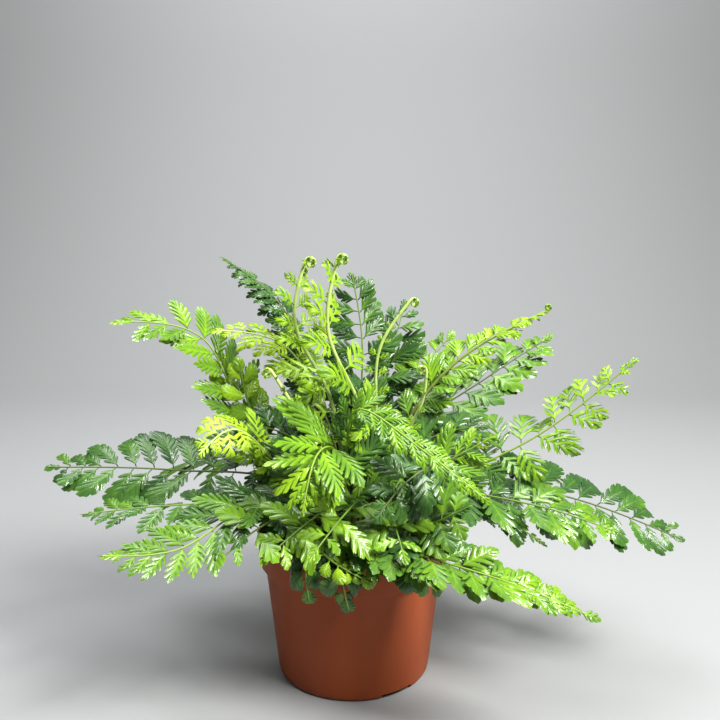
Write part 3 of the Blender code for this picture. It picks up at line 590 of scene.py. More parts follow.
FRONDS = (
    # Left side, from the long low frond up to the high arched one
    Frond("left_long", MATURE, 0.032, 0.70,
          ((-0.040, 0.000, 0.118), (-0.110, -0.005, 0.130)), (-0.185, -0.015, 0.135)),
    Frond("left_low", DARKER, 0.024, 0.20,
          ((-0.050, -0.020, 0.112), (-0.105, -0.040, 0.120)), (-0.155, -0.050, 0.118)),
    Frond("left_front", BRIGHT, 0.034, 0.50,
          ((-0.055, -0.045, 0.122), (-0.095, -0.082, 0.110)), (-0.130, -0.100, 0.115)),
    Frond("left_lime", YOUNG, 0.024, 0.60,
          ((-0.040, -0.015, 0.130), (-0.070, -0.040, 0.165)), (-0.085, -0.060, 0.155)),
    Frond("left_high", OPEN, 0.034, 0.50,
          ((-0.070, 0.015, 0.160), (-0.095, 0.015, 0.210)), (-0.145, -0.005, 0.222)),
    Frond("left_round", SMALL, 0.017, 1.00,
          ((-0.048, 0.000, 0.140), (-0.065, 0.005, 0.170)), (-0.070, 0.005, 0.198)),
    Frond("left_round_back", SMALL, 0.014, 0.60,
          ((-0.045, 0.015, 0.135), (-0.075, 0.020, 0.170)), (-0.085, 0.020, 0.203)),
    Frond("left_under", ALONG_RIM, 0.036, 0.60,
          ((-0.028, -0.035, 0.114), (-0.050, -0.062, 0.116)), (-0.074, -0.078, 0.100)),
    # Top, with the croziers that are still uncoiling
    Frond("top_left", TRAILING, 0.020, 0.00,
          ((-0.025, 0.025, 0.165), (-0.045, 0.035, 0.225)), (-0.085, 0.040, 0.258)),
    Frond("top_left_inner", YOUNG, 0.022, 0.40,
          ((-0.018, 0.015, 0.160), (-0.045, 0.018, 0.205)), (-0.088, 0.015, 0.214)),
    Frond("top_back", SHADED, 0.028, 0.30,
          ((0.004, 0.025, 0.155), (0.005, 0.038, 0.210)), (-0.002, 0.042, 0.250)),
    Frond("top_right_back", SHADED, 0.028, 0.40,
          ((0.012, 0.030, 0.150), (0.025, 0.045, 0.195)), (0.035, 0.055, 0.230)),
    Frond("right_fan", FANS, 0.024, 0.60,
          ((0.022, 0.030, 0.140), (0.045, 0.045, 0.182)), (0.068, 0.055, 0.208)),
    Frond("crozier_tall", LIME, 0.036, 0.60,
          ((0.004, -0.012, 0.170), (-0.015, -0.012, 0.220)), (-0.009, -0.012, 0.260), curl=(1, 0, 0)),
    Frond("crozier_left", LIME, 0.030, 0.60,
          ((-0.014, -0.002, 0.175), (-0.035, -0.005, 0.226)), (-0.028, -0.005, 0.258), curl=(1, 0, 0)),
    Frond("crozier_right", COILED, 0.014, 0.50,
          ((0.014, 0.018, 0.150), (0.018, 0.022, 0.205)), (0.036, 0.022, 0.232), curl=(0, 0, -1)),
    Frond("crozier_low", COILED, 0.020, 0.70,
          ((-0.016, -0.035, 0.140), (-0.032, -0.045, 0.178)), (-0.045, -0.045, 0.200), curl=(-1, 0, 0)),
    Frond("crozier_small", COILED, 0.012, 0.70,
          ((0.030, -0.010, 0.150), (0.042, -0.016, 0.180)), (0.043, -0.018, 0.195), curl=(-1, 0, 0)),
    # Right side, from the high ones down to the low one
    Frond("right_high", TIPPED, 0.024, 0.50,
          ((0.025, 0.010, 0.140), (0.058, 0.015, 0.188)), (0.122, 0.020, 0.226), curl=(0, 0, 1)),
    Frond("right_far", SPARSE, 0.031, 0.50,
          ((0.055, -0.010, 0.122), (0.112, -0.020, 0.158)), (0.163, -0.030, 0.205)),
    Frond("right_back", FANNED, 0.030, 0.55,
          ((0.035, 0.030, 0.140), (0.090, 0.042, 0.180)), (0.132, 0.052, 0.205)),
    Frond("right_low", MATURE, 0.033, 0.70,
          ((0.055, 0.010, 0.118), (0.130, 0.000, 0.112)), (0.200, -0.022, 0.091)),
    Frond("right_front", FULL, 0.028, 0.50,
          ((0.045, -0.020, 0.118), (0.100, -0.042, 0.122)), (0.150, -0.058, 0.110)),
    Frond("right_under", DARKER, 0.018, 0.40,
          ((0.045, 0.018, 0.104), (0.090, 0.022, 0.092)), (0.126, 0.015, 0.072)),
    Frond("front_right", RUFFLED, 0.028, 0.55,
          ((-0.002, -0.046, 0.104), (0.045, -0.080, 0.104), (0.085, -0.098, 0.098)), (0.125, -0.108, 0.084)),
    Frond("right_middle", GLOSSY, 0.040, 0.85,
          ((0.018, -0.012, 0.125), (0.042, -0.030, 0.138)), (0.080, -0.045, 0.163)),
    # Middle and front, over the rim
    Frond("middle_left", GLOSSY, 0.052, 1.00,
          ((-0.010, -0.036, 0.152), (-0.020, -0.076, 0.158)), (-0.026, -0.092, 0.132)),
    Frond("middle_right", NARROW, 0.016, 0.85,
          ((-0.004, -0.030, 0.150), (0.003, -0.052, 0.180), (0.038, -0.076, 0.163)), (0.072, -0.088, 0.138)),
    Frond("middle_dark", BENT, 0.028, 0.80,
          ((0.030, -0.020, 0.125), (0.052, -0.042, 0.149), (0.029, -0.062, 0.141)), (0.011, -0.079, 0.124)),
    Frond("middle_low", FULL, 0.034, 0.80,
          ((0.012, -0.028, 0.104), (0.036, -0.056, 0.113)), (0.064, -0.077, 0.134)),
    # The inner fronds are dark leaves set behind the front ones, partly as painted shade in the gaps.
    Frond("inner_left", INNER, 0.032, 0.60,
          ((-0.020, 0.004, 0.125), (-0.038, -0.002, 0.150)), (-0.064, -0.008, 0.160)),
    Frond("inner_middle", INNER, 0.032, 0.60,
          ((0.000, 0.004, 0.125), (0.006, 0.002, 0.155)), (-0.006, -0.004, 0.190)),
    Frond("inner_right", INNER, 0.032, 0.60,
          ((0.024, 0.002, 0.125), (0.050, 0.000, 0.150)), (0.082, -0.006, 0.158)),
    Frond("front_left", ALONG_RIM, 0.039, 0.60,
          ((-0.014, -0.032, 0.114), (-0.024, -0.060, 0.118)), (-0.048, -0.082, 0.104)),
    Frond("front_middle", ALONG_RIM, 0.038, 0.60,
          ((0.004, -0.030, 0.118), (-0.004, -0.064, 0.124)), (-0.022, -0.092, 0.110)),
    Frond("front_low", ALONG_RIM, 0.037, 0.60,
          ((0.014, -0.028, 0.114), (0.022, -0.062, 0.119)), (0.028, -0.090, 0.106)),
    Frond("rim_left", JUVENILE, 0.014, 0.70,
          ((-0.016, -0.044, 0.100), (-0.025, -0.063, 0.097)), (-0.024, -0.070, 0.075)),
    Frond("rim_middle", JUVENILE, 0.014, 0.70,
          ((-0.002, -0.046, 0.100), (-0.006, -0.068, 0.097)), (-0.002, -0.074, 0.071)),
    Frond("rim_right", JUVENILE, 0.014, 0.70,
          ((0.015, -0.040, 0.099), (0.030, -0.066, 0.096)), (0.050, -0.066, 0.078)),
    Frond("rim_lime", SPROUT, 0.010, 0.70,
          ((-0.020, -0.045, 0.099), (-0.010, -0.074, 0.100)), (0.012, -0.080, 0.090)),
    # Back, where the older fronds arch out lower than the front ones
    Frond("back_left", FULL, 0.028, 0.00,
          ((-0.045, 0.025, 0.120), (-0.095, 0.055, 0.120)), (-0.140, 0.082, 0.100)),
    Frond("back_left_mid", FULL, 0.028, 0.00,
          ((-0.030, 0.040, 0.130), (-0.060, 0.085, 0.145)), (-0.085, 0.122, 0.125)),
    Frond("back_middle_left", INNER, 0.028, 0.00,
          ((-0.014, 0.038, 0.140), (-0.026, 0.078, 0.168)), (-0.038, 0.118, 0.162)),
    Frond("back_middle", INNER, 0.028, 0.00,
          ((0.004, 0.040, 0.120), (0.008, 0.085, 0.140)), (0.014, 0.130, 0.127)),
    Frond("back_middle_right", INNER, 0.028, 0.00,
          ((0.022, 0.040, 0.142), (0.042, 0.075, 0.170)), (0.064, 0.108, 0.166)),
    Frond("back_right_mid", FULL, 0.028, 0.00,
          ((0.038, 0.042, 0.122), (0.076, 0.082, 0.132)), (0.106, 0.118, 0.115)),
    Frond("back_right", FULL, 0.028, 0.00,
          ((0.050, 0.025, 0.115), (0.105, 0.052, 0.116)), (0.152, 0.075, 0.096)),
    Frond("back_low_left", INNER, 0.026, 0.00,
          ((-0.022, 0.045, 0.106), (-0.046, 0.082, 0.104)), (-0.066, 0.110, 0.084)),
    Frond("back_low_right", INNER, 0.026, 0.00,
          ((0.022, 0.050, 0.104), (0.050, 0.088, 0.102)), (0.074, 0.112, 0.083)),
)

# The fronds' ribs: smooth curves from the soil through each frond's points to its tip, kept apart
# from each other as the stems in a crown are. A crozier's rib goes on into a coil.
STEM_BOTTOM = 0.076
STEM_STRAIGHT_TOP = 0.088
STEM_GATHERING = 0.2
STEM_SPACING = 0.0050
STEM_ROUNDS = 200
RIB_SPACING = 0.0045
RIB_SAMPLES = 41
RIB_ROUNDS = 240
RIB_HELD = 4
SPAN_STEPS = 24
MOVE_SMOOTHINGS = 3
VIEWER = (0.15, -0.80, 0.58)
COIL_STEPS = 40
COIL_TURNS = 1.9
COIL_NARROW = 0.0006
COIL_TIGHTENING = 0.8


def unit(vectors):
    """Each vector divided by its length."""
    return vectors / np.linalg.norm(vectors, axis=-1, keepdims=True)


def dot(first, second):
    """How far each first vector reaches along its second one, when that is a unit vector."""
    return (first * second).sum(-1, keepdims=True)


def evenly(points, count):
    """As many points as count, evenly spaced along the line through points."""
    lengths = np.linalg.norm(np.diff(points, axis=0), axis=1)
    travelled = np.concatenate([[0], np.cumsum(lengths)])
    wanted = np.linspace(0, travelled[-1], count)
    return np.stack([np.interp(wanted, travelled, points[:, axis]) for axis in range(3)], axis=1)


def curve_through(points, count):
    """Points along the smooth curve through points: a cubic on each span, whose slope at each point is
    the mean of the two spans' slopes there, the shorter span counting more. It sets out along the first
    span, and at the end it goes on bending as it did before."""
    points = np.array(points, dtype=float)
    spans = np.linalg.norm(np.diff(points, axis=0), axis=1)[:, None]
    slopes = np.diff(points, axis=0) / spans
    inner = (slopes[:-1] * spans[1:] + slopes[1:] * spans[:-1]) / (spans[:-1] + spans[1:])
    ends = np.vstack([slopes[:1], inner, 1.5 * slopes[-1:] - 0.5 * inner[-1:]])
    t = np.linspace(0, 1, SPAN_STEPS)[:, None]
    pieces = [
        (2 * t**3 - 3 * t**2 + 1) * points[i]
        + (t**3 - 2 * t**2 + t) * spans[i] * ends[i]
        + (3 * t**2 - 2 * t**3) * points[i + 1]
        + (t**3 - t**2) * spans[i] * ends[i + 1]
        for i in range(len(spans))
    ]
    return evenly(np.vstack([pieces[0], *[piece[1:] for piece in pieces[1:]]]), count)


def push_apart(paths, least, rounds, held):
    """Moves paths that run closer than least away from each other, each by half of what is missing, with
    the move spread along the path. Only points that start within five times least of each other count.
    The first held points of each path stay."""
    count, samples, axes = paths.shape
    owner = np.repeat(np.arange(count), samples)
    flat = paths.reshape(-1, axes)
    distances = np.linalg.norm(flat[:, None] - flat[None, :], axis=2)
    first, second = np.nonzero((owner[:, None] < owner[None, :]) & (distances < 5 * least))
    for _ in range(rounds):
        flat = paths.reshape(-1, axes)
        apart = flat[first] - flat[second]
        distance = np.linalg.norm(apart, axis=1, keepdims=True) + 1e-9
        move = apart / distance * np.clip(least - distance, 0, None) / 2
        moves = np.zeros_like(flat)
        np.add.at(moves, first, move)
        np.add.at(moves, second, -move)
        moves = moves.reshape(paths.shape)
        for _ in range(MOVE_SMOOTHINGS if samples > 1 else 0):
            padded = np.concatenate([moves[:, :1], moves, moves[:, -1:]], axis=1)
            moves = 0.25 * padded[:, :-2] + 0.5 * padded[:, 1:-1] + 0.25 * padded[:, 2:]
        moves[:, :held] = 0
        paths = paths + moves
    return paths


def rib_paths():
    """Each frond's rib as evenly spaced points, no two ribs closer than they can be in the soil."""
    starts = np.array([frond.via[0][:2] for frond in FRONDS]) * STEM_GATHERING
    bases = push_apart(starts[:, None, :], STEM_SPACING, STEM_ROUNDS, held=0)[:, 0]
    paths = []
    for frond, (x, y) in zip(FRONDS, bases):
        start = [(x, y, STEM_BOTTOM), (x, y, STEM_STRAIGHT_TOP)]
        paths.append(curve_through([*start, *frond.via, frond.tip], RIB_SAMPLES))
    return push_apart(np.array(paths), RIB_SPACING, RIB_ROUNDS, RIB_HELD)


def blade_normals(path, frond):
    """The rib's direction at each point, and the one that the blade faces: up and towards the crown,
    turned to the viewer. A coiled frond's goes over to its curl with the fourth power of the way."""
    tangents = unit(np.gradient(path, axis=0))
    heading = path[-1] - path[0]
    heading[2] = 0
    side = np.cross(unit(heading), (0, 0, 1))
    normals = unit(np.cross(side, tangents))
    share = np.full((len(path), 1), frond.face)
    target = np.array(VIEWER, dtype=float)
    if frond.curl:
        along = np.linspace(0, 1, len(path))[:, None]
        normals = unit((1 - share) * normals + share * target)
        target = np.array(frond.curl, dtype=float)
        share = along**4
    normals = unit((1 - share) * normals + share * target)
    return tangents, unit(normals - dot(normals, tangents) * tangents)


def coil(tip, tangent, inward, wide):
    """A crozier's spiral: it goes on from the tip along tangent and winds in towards inward. Returned are
    its points, the direction that it runs at each, and the one from there to its middle."""
    middle = tip + wide * inward
    angle = np.linspace(0, 2 * math.pi * COIL_TURNS, COIL_STEPS + 1)[1:, None]
    radius = wide + (COIL_NARROW - wide) * (angle / angle[-1]) ** COIL_TIGHTENING
    points = middle + radius * (tangent * np.sin(angle) - inward * np.cos(angle))
    tangents = tangent * np.cos(angle) + inward * np.sin(angle)
    return points, tangents, inward * np.cos(angle) - tangent * np.sin(angle)


def at(values, stations):
    """The values at these shares of the path's length."""
    even = np.linspace(0, 1, len(values))
    return np.stack([np.interp(stations, even, values[:, axis]) for axis in range(3)], axis=1)


# Leaflets: thin leathery blades, cut into lobes that lean towards the tip, on a short stalk. Each is
# one closed shell, made from a grid of rows along its midrib and columns out to its margins.
COLUMNS = np.array([-1, -0.55, 0, 0.55, 1])
BLADE_HALF = 0.00016
LOBE_STAGGER = 0.22
LOBE_LOSS = 0.7
LEAST_LOBES = 3
UNEVEN_HALVES = 0.08
RELIEF_FROM = 0.5
VEIN_DIP = 0.35
VEIN_DIP_WIDTH = 0.1
MIDRIB_FURROW = 0.00012
MIDRIB_THINNING = 0.6
STALK_SUNK = 0.0004
BEND_STEPS = 33
ROLL_FROM = 0.55


def leaflet_rows(form, lobes):
    """Each row's place on the midrib from 0 to 1, its reach as a share of the envelope, its place within
    its lobe, its number of lobes so far and its shift."""
    rows = [(number, *row) for number in range(lobes) for row in (END if number == lobes - 1 else form.lobe)]
    number, inside, notch, tooth, shift = np.array(rows, dtype=float).T
    cut = np.floor(number + inside + 0.5)
    depth = np.interp((cut - 1) / max(lobes - 2, 1), *np.array(form.cuts).T)
    depth = np.where(cut == 0, 1.0, depth)
    reach = 1 - depth * notch - form.tooth * tooth
    return (number + inside) / lobes, reach, inside, number + inside, shift / lobes


def leaflet_faces(rows):
    """The triangles of a leaflet's shell on its grid of two skins by rows by columns, and the grid's
    points that they use. The skins share their margins, the first row is one point, and the last row's
    two sides lie on each other."""
    columns = len(COLUMNS)
    ids = np.arange(2 * rows * columns).reshape(2, rows, columns)
    ids[1, :, [0, -1]] = ids[0, :, [0, -1]]
    ids[:, 0] = ids[0, 0, 0]
    ids[:, -1, :2] = ids[:, -1, :-3:-1]
    quads = grid_faces(rows, columns)
    triangles = triangles_of(ids.ravel()[np.vstack([quads, quads[:, ::-1] + rows * columns])])
    used = np.unique(triangles)
    return np.searchsorted(used, triangles), used


def with_stalk(grid):
    """The grid after two more rows for the leaflet's own stalk: one point a little inside the frond's
    stalk, and halfway out a copy of the first row."""
    start = np.zeros_like(grid[:, :, :1])
    start[..., 0] = -STALK_SUNK
    middle = grid[:, :, :1].copy()
    middle[..., 0] *= 0.5
    return np.concatenate([start, middle, grid], axis=2)


def flat_leaflets(form, lobes, lengths, widths):
    """Leaflets lying flat, their stalks' ends at 0 and their tips on +X. A point sits on the line that
    leaves the midrib at its row's place, forward by the slant, at its column's share of the reach. The
    slant closes to nothing at the tip, and the two sides' lobes are staggered. Lobes rise between their
    cuts, with a dip over their vein, and tilt like a blind's slats. With each point go its lobes so far,
    its column, and 0 on top, 1 underneath or 0.5 on the margin."""
    place, reach, inside, lobe, shift = leaflet_rows(form, lobes)
    slant = math.radians(form.slant) * (1 - place**4)
    envelope = np.interp(place, *np.array(form.envelope).T)
    lengths, widths = lengths[:, None, None], widths[:, None, None]
    out = np.abs(COLUMNS)
    side = np.sign(COLUMNS)
    uneven = 1 + UNEVEN_HALVES * side
    lateral = np.maximum(widths * (envelope * reach)[:, None] * uneven, form.midrib)
    lateral = lateral / math.sin(math.radians(form.slant))
    stalk = form.stalk * lengths
    midrib = lengths - stalk - lateral[:, -1:, -1:]
    stagger = LOBE_STAGGER / lobes * (np.minimum(lobe, 1) * (1 - place**4))[:, None] * side
    root = stalk + midrib * (place[:, None] + shift[:, None] * out + stagger)
    x = root + out * lateral * np.cos(slant)[:, None]
    y = side * out * lateral * np.sin(slant)[:, None]
    dip = VEIN_DIP * np.exp(-(((inside - 0.5) / VEIN_DIP_WIDTH) ** 2))
    ridge = np.sin(math.pi * inside) ** 2 * (1 - dip)
    slat = np.where((inside > 0) & (inside < 1), inside - 0.5, 0)
    lift = form.relief * (ridge - 0.5) + form.louvre * slat * (lobe < lobes - 1)
    z = lift[:, None] * np.minimum(out / RELIEF_FROM, 1) - form.cup * lateral * out**2
    z = z - MIDRIB_FURROW * (out == 0) + math.tan(math.radians(form.fold)) * np.abs(y)
    half = np.where(out == 0, form.midrib * (1 - MIDRIB_THINNING * place[:, None]), BLADE_HALF * (out < 1))
    top, under = np.stack([x, y, z + half], axis=-1), np.stack([x, y, z - half], axis=-1)
    grid = with_stalk(np.stack([top, under], axis=1))
    rows = np.concatenate([[0, 0], lobe])
    skin = np.array([0.0, 1.0])[:, None, None] * (out < 1) + 0.5 * (out == 1)
    shape = (2, len(rows), len(COLUMNS))
    return grid, [np.broadcast_to(v, shape) for v in (rows[:, None], COLUMNS, skin)]


def bent(grid, lengths, droop, roll, twist, bow):
    """Bends flat leaflets down along their length. The droop grows evenly, the roll comes in over the
    last half, both as the angle at the tip, and the twist turns them about their midrib on the way. The
    bow is how far the tip curves to the frond's own tip, as a share of the length."""
    share = np.linspace(0, 1, BEND_STEPS)
    rolled = np.clip((share - ROLL_FROM) / (1 - ROLL_FROM), 0, 1) ** 2
    angle = droop[:, None] * share + roll[:, None] * rolled
    step = lengths[:, None] / (BEND_STEPS - 1)
    middle = (angle[:, 1:] + angle[:, :-1]) / 2
    run = np.pad(np.cumsum(np.cos(middle) * step, axis=1), ((0, 0), (1, 0)))
    fall = np.pad(np.cumsum(np.sin(middle) * step, axis=1), ((0, 0), (1, 0)))
    x, y, z = (grid[..., axis].reshape(len(lengths), -1) for axis in range(3))
    y = y + bow[:, None] * x**2 / lengths[:, None]
    turn = twist[:, None] * np.clip(x / lengths[:, None], 0, 1)
    y, z = y * np.cos(turn) - z * np.sin(turn), y * np.sin(turn) + z * np.cos(turn)
    where = np.clip(x / lengths[:, None], 0, 1) * (BEND_STEPS - 1)
    low = np.minimum(where.astype(int), BEND_STEPS - 2)
    part = where - low

    def read(table):
        return np.take_along_axis(table, low, 1) * (1 - part) + np.take_along_axis(table, low + 1, 1) * part

    tilt = read(angle)
    across = read(run) + z * np.sin(tilt) + np.minimum(x, 0)
    return np.stack([across, y, z * np.cos(tilt) - read(fall)], axis=-1)


def leaflets(form, roots, axes, sides, lengths, widths, *bends):
    """Leaflets at roots, along the first of their axes, across the second and up the third, as points,
    triangles and the numbers that the finish reads. Short ones have fewer lobes."""
    most = form.lobes
    counts = np.round(most * (lengths / lengths.max()) ** LOBE_LOSS)
    counts = np.clip(counts, LEAST_LOBES, most).astype(int)
    points, faces, numbers, start = [], [], [], 0
    for lobes in np.unique(counts):
        chosen = counts == lobes
        grid, values = flat_leaflets(form, lobes, lengths[chosen], widths[chosen])
        triangles, used = leaflet_faces(grid.shape[2])
        local = bent(grid, lengths[chosen], *[bend[chosen] for bend in bends])[:, used]
        placed = np.einsum("pvi,pij->pvj", local, axes[chosen]) + roots[chosen][:, None]
        count, each = placed.shape[:2]
        flipped = np.where((sides[chosen] < 0)[:, None, None], triangles[None, :, ::-1], triangles[None])
        faces.append((flipped + (np.arange(count) * each)[:, None, None]).reshape(-1, 3) + start)
        points.append(placed.reshape(-1, 3))
        fixed = [np.tile(value.ravel()[used], count) for value in values]
        own = np.repeat(np.flatnonzero(chosen), each)
        numbers.append(np.stack([*fixed, own], axis=1))
        start += count * each
    return np.vstack(points), np.vstack(faces), np.vstack(numbers)


# Stalks: round and wiry, brownish green where they leave the soil and the green of their leaflets
# further up, thinning to the tip. Each is a tube along its rib, sunk into the soil.
STALK_THINNING = 0.55
CROZIER_THINNING = 0.40
STALK_SIDES = 8


def stalk(path, normals, tangents, thick, thinning):
    """A tube of rings round the path, closed by one point at each end: its points, its triangles and
    each point's share of the way along the path."""
    share = np.linspace(0, 1, len(path))[:, None, None]
    radius = thick * (1 - thinning * share**0.8)
    radius[[0, -1]] = 0
    turn = (np.arange(STALK_SIDES) * 2 * math.pi / STALK_SIDES)[None, :, None]
    sides = np.cross(tangents, normals)[:, None]
    rings = path[:, None] + radius * (np.cos(turn) * sides + np.sin(turn) * normals[:, None])
    ids = np.arange(len(path) * STALK_SIDES).reshape(-1, STALK_SIDES)
    ids[[0, -1]] = ids[[0, -1], :1]
    triangles = triangles_of(ids.ravel()[grid_faces(len(path), STALK_SIDES, ring=True)])
    used = np.unique(triangles)
    shares = np.repeat(share.ravel(), STALK_SIDES)
    return rings.reshape(-1, 3)[used], np.searchsorted(used, triangles), shares[used]


# Leaf finishes: glossy above and paler and duller below, with the veins as fine furrows, a pale edge,
# and each leaflet a little fresher or older than the next. Stalks go from brown to green.
GREENS = (
    (0.00, (0.019, 0.056, 0.019, 1)),
    (0.25, (0.053, 0.138, 0.025, 1)),
    (0.50, (0.150, 0.310, 0.015, 1)),
    (0.75, (0.280, 0.480, 0.018, 1)),
    (1.00, (0.440, 0.640, 0.022, 1)),
)
UNDERSIDE = (0.160, 0.330, 0.060, 1)
TONE_CLOUDS = 0.08
PALER_BY = 0.22
VEIN_WIDTH = 0.07
MIDRIB_WIDTH = 0.14
MARGIN_FROM = 0.93
FURROWS_PER_LOBE = 4
LEAF_RELIEF = 0.00006
LEAF_SHINE = 0.40
STALK_FUZZ = 0.0001


def leaf_finish(slot, roughness):
    """The green follows the leaflet's tone, a little paler on its veins, midrib, margin and back."""
    finish = Finish(slot)
    clouds = finish.between(finish.noise(90.0), 0.3, 0.7, -TONE_CLOUDS, TONE_CLOUDS)
    tone = finish.maths("ADD", finish.value("tone"), clouds)
    colour = finish.ramp(tone, GREENS)
    out = finish.maths("ABSOLUTE", finish.value("across"))
    within = finish.maths("FRACT", finish.value("lobe"))
    vein = finish.maths("ABSOLUTE", finish.maths("SUBTRACT", within, 0.5))
    paler = finish.ramp(finish.maths("ADD", tone, PALER_BY), GREENS)
    colour = finish.blend(finish.between(vein, VEIN_WIDTH, 0.0, 0, 0.3), colour, paler)
    colour = finish.blend(finish.between(out, MIDRIB_WIDTH, 0.0, 0, 0.6), colour, paler)
    colour = finish.blend(finish.between(out, MARGIN_FROM, 1.0, 0, 0.35), colour, paler)
    back = finish.between(finish.value("under"), 0.55, 0.85)
    colour = finish.blend(back, colour, finish.blend(0.4, colour, UNDERSIDE))
    spots = finish.noise(700.0, 3.0)
    dull = finish.between(back, 0, 1, 0, 0.2)
    rough = finish.maths("ADD", finish.between(spots, 0.3, 0.7, roughness - 0.05, roughness + 0.08), dull)
    furrows = finish.maths("SINE", finish.maths("MULTIPLY", within, FURROWS_PER_LOBE * 2 * math.pi))
    height = finish.maths("ADD", finish.maths("MULTIPLY", furrows, 0.5), spots)
    relief = finish.bump(height, LEAF_RELIEF)
    return finish.surface(
        Base_Color=colour, Roughness=rough, Normal=relief, Specular_IOR_Level=LEAF_SHINE)


def stalk_finish(slot, base, top):
    """From the base colour at the soil to the top one past the middle, in uneven clouds, with fine fuzz."""
    finish = Finish(f"{slot}_stalk")
    clouds = finish.between(finish.noise(160.0), 0.3, 0.7, -0.1, 0.1)
    share = finish.maths("ADD", finish.value("tone"), clouds)
    colour = finish.blend(finish.between(share, 0.15, 0.55), base, top)
    fuzz = finish.noise(2600.0, 2.0)
    return finish.surface(Base_Color=colour, Roughness=0.5, Normal=finish.bump(fuzz, STALK_FUZZ))


LEAF_LOOKS = (
    ("dark_leaf", 0.18, (0.050, 0.035, 0.014, 1), (0.080, 0.130, 0.022, 1)),
    ("green_leaf", 0.18, (0.060, 0.045, 0.016, 1), (0.140, 0.260, 0.028, 1)),
    ("bright_leaf", 0.16, (0.100, 0.090, 0.022, 1), (0.220, 0.360, 0.034, 1)),
    ("lime_leaf", 0.34, (0.300, 0.400, 0.090, 1), (0.520, 0.680, 0.190, 1)),
)
FINISHES = {
    slot: [leaf_finish(slot, roughness), stalk_finish(slot, base, top)]
    for slot, roughness, base, top in LEAF_LOOKS
}

# Each frond's own piece: its stalk, its rows of leaflets from the lowest to the tip, and a crozier's
# small rolled ones round its coil. Each frond has its own random numbers, by its place in the list: a
# LOOSE value is the most degrees either way in a kind whose looseness is 1, an UNEVEN pair is a range.
DENSITY = 1.15
FIRST_PAIR = 0.35
CROWDING = 0.3
PAIR_STAGGER = 0.12
LAST_PAIR = 0.985
FOOT_REACH = 0.9
FOOT_SLANT = 80
SLANT_CLOSING = 27
LEAFLET_LIFT = 4
LEAFLET_TURN = 1.2
LOOSE_SLANT = 12
LOOSE_LIFT = 18
LOOSE_TWIST = 20
UNEVEN_LENGTH = (0.92, 1.06)
UNEVEN_WIDTH = (0.92, 1.10)
UNEVEN_DROOP = (0.5, 1.5)
UNEVEN_ROLL = (0.6, 1.2)
UNEVEN_BOW = (-0.05, 0.20)
UNEVEN_TONE = (-0.08, 0.08)
TIP_LEAFLET = 0.009
TIP_LENGTHENING = 1.25
TIP_DROOP = 0.1
COIL_PAIRS = 8
COIL_LEAFLETS = (0.02, 0.75)
COIL_LENGTH = 1.2
COIL_SHORTENING = 0.5
COIL_FORWARDS = 0.9
COIL_OUTWARDS = 0.8
COIL_AWAY = 0.3
COIL_HALF_WIDTH = 0.30
COIL_BENDS = (-0.8, -2.0, 0, 0)
COIL_FRESH = (0.55, 0.80)
FROND_SHARP_ANGLE = 70


def leaflet_places(kind, length, end):
    """Each leaflet's side of the rib and its share of the way from the bare stalk to the end. The pairs
    get closer along it, and the second of a pair is a little further up than the first."""
    pairs = int(round((end - kind.bare) * length / kind.spacing * DENSITY))
    step = (np.arange(pairs) + FIRST_PAIR) / pairs
    share = np.repeat(step * (1 + CROWDING - CROWDING * step), 2)
    sides = np.tile([1, -1], pairs)
    return sides, np.clip(share + PAIR_STAGGER * (sides < 0) / pairs, 0, LAST_PAIR)


def blade(frond, path, tangents, normals, draw):
    """The leaflets of a frond's blade: pairs that get smaller to the tip, and one at the end, unless that
    is a coil. They lean more forwards and roll in more on the way. With them go their tones."""
    kind = frond.kind
    length = np.linalg.norm(np.diff(path, axis=0), axis=1).sum()
    end = 1.0 if frond.curl else 1 - TIP_LEAFLET / length
    sides, share = leaflet_places(kind, length, end)
    stations = kind.bare + (end - kind.bare) * share
    roots, tangent, normal = at(path, stations), unit(at(tangents, stations)), unit(at(normals, stations))

    def uneven(low, high):
        """A random number from low to high for each leaflet."""
        return draw.uniform(low, high, len(share))

    slant = FOOT_SLANT - kind.lean - SLANT_CLOSING * share + kind.loose * uneven(-LOOSE_SLANT, LOOSE_SLANT)
    lift = kind.loose * uneven(-LOOSE_LIFT, LOOSE_LIFT) + LEAFLET_LIFT
    slant, lift = np.radians(slant)[:, None], np.radians(lift)[:, None]
    outward = np.cross(tangent, normal) * sides[:, None]
    flat = tangent * np.cos(slant) + outward * np.sin(slant)
    along = flat * np.cos(lift) + normal * np.sin(lift)
    lengths = frond.reach * (FOOT_REACH + share) * (1 - share) ** kind.taper * uneven(*UNEVEN_LENGTH)
    droop = np.radians(kind.leaflet.droop * uneven(*UNEVEN_DROOP))
    roll = np.radians(kind.roll * uneven(*UNEVEN_ROLL) * share**1.5)
    twist = np.radians(kind.loose * uneven(-LOOSE_TWIST, LOOSE_TWIST))
    bow = uneven(*UNEVEN_BOW)
    if not frond.curl:
        roots = np.vstack([roots, path[int(end * (len(path) - 1))]])
        along = np.vstack([along, tangents[-1]])
        tangent = np.vstack([tangent, np.cross(normals[-1], tangents[-1])])
        sides, share = np.append(sides, 1), np.append(share, 1.0)
        lengths = np.append(lengths, TIP_LEAFLET * TIP_LENGTHENING)
        droop, roll = np.append(droop, TIP_DROOP), np.append(roll, roll[-1])
        twist, bow = np.append(twist, 0.0), np.append(bow, 0.0)
    up = unit(np.cross(along, tangent)) * sides[:, None] + LEAFLET_TURN * frond.face * np.array(VIEWER)
    up = unit(up - along * dot(along, up))
    axes = np.stack([along, np.cross(up, along) * sides[:, None], up], axis=1)
    widths = kind.leaflet.half_width * lengths * uneven(*UNEVEN_WIDTH)
    tones = kind.freshness_and_shade[0] + (kind.freshness_and_shade[1] - kind.freshness_and_shade[0]) * share + uneven(*UNEVEN_TONE)
    return leaflets(kind.leaflet, roots, axes, sides, lengths, widths, droop, roll, twist, bow), tones


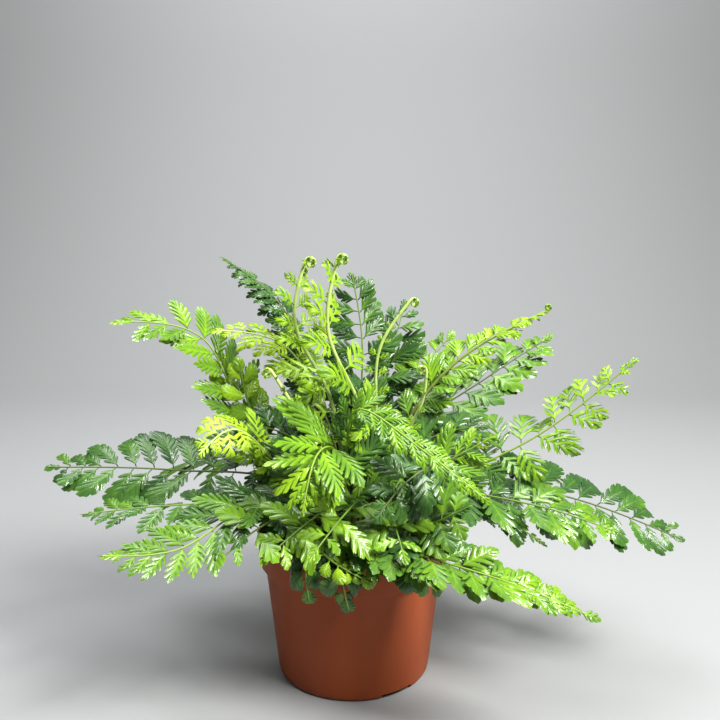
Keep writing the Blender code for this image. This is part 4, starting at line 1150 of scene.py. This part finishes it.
def coil_leaflets(coil_radius, points, tangents, normals, draw):
    """Tiny leaflets on both sides of the coil, rolled in over it and shorter along it, and their tones.
    They lean forwards, outwards and a little away from its middle."""
    stations = np.repeat(np.linspace(*COIL_LEAFLETS, COIL_PAIRS), 2)
    sides = np.tile([1, -1], COIL_PAIRS)
    roots, tangent, normal = at(points, stations), unit(at(tangents, stations)), unit(at(normals, stations))
    outward = np.cross(tangent, normal) * sides[:, None]
    along = unit(COIL_FORWARDS * tangent + COIL_OUTWARDS * outward - COIL_AWAY * normal)
    lengths = COIL_LENGTH * coil_radius * (1 - COIL_SHORTENING * stations)
    across = unit(tangent - along * dot(along, tangent))
    up = np.cross(along, across) * sides[:, None]
    axes = np.stack([along, across, up], axis=1)
    bends = np.outer(COIL_BENDS, np.ones(len(stations)))
    made = leaflets(PLAIN, roots, axes, sides, lengths, COIL_HALF_WIDTH * lengths, *bends)
    return made, draw.uniform(*COIL_FRESH, len(stations))


def toned(made, tones):
    """A frond's leaflets with each point's own tone in place of its leaflet's number."""
    points, triangles, numbers = made
    return points, triangles, np.column_stack([numbers[:, :3], tones[numbers[:, 3].astype(int)]])


def make_frond(frond, path, draw):
    """One piece of a frond's leaflets and its stalk, whose points keep the numbers its finishes read."""
    tangents, normals = blade_normals(path, frond)
    parts = [toned(*blade(frond, path, tangents, normals, draw))]
    thinning = STALK_THINNING
    if frond.curl:
        spiral = coil(path[-1], tangents[-1], normals[-1], frond.kind.coil)
        parts.append(toned(*coil_leaflets(frond.kind.coil, *spiral, draw)))
        path, tangents, normals = (np.vstack(pair) for pair in zip((path, tangents, normals), spiral))
        thinning = CROZIER_THINNING
    points, triangles, share = stalk(path, normals, tangents, frond.kind.stem, thinning)
    parts.append((points, triangles, np.column_stack([np.zeros((len(points), 3)), share])))
    points, triangles, numbers = zip(*parts)
    starts = np.cumsum([0, *[len(part) for part in points]])
    piece = new_piece(
        f"{frond.name}_frond",
        np.vstack(points),
        np.vstack([part + start for part, start in zip(triangles, starts)]),
        FINISHES[frond.kind.slot],
        sharp=FROND_SHARP_ANGLE,
    )
    for name, column in zip(("lobe", "across", "under", "tone"), np.vstack(numbers).T):
        attribute = piece.data.attributes.new(name, "FLOAT", "POINT")
        attribute.data.foreach_set("value", column.astype(np.float32))
    on_stalk = np.zeros(len(piece.data.polygons), np.int32)
    on_stalk[-len(triangles[-1]):] = 1
    piece.data.polygons.foreach_set("material_index", on_stalk)
    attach(piece, "root")
    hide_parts(f"frond_{frond.name}")


for number, (frond, path) in enumerate(zip(FRONDS, rib_paths())):
    make_frond(frond, path, np.random.default_rng(number))
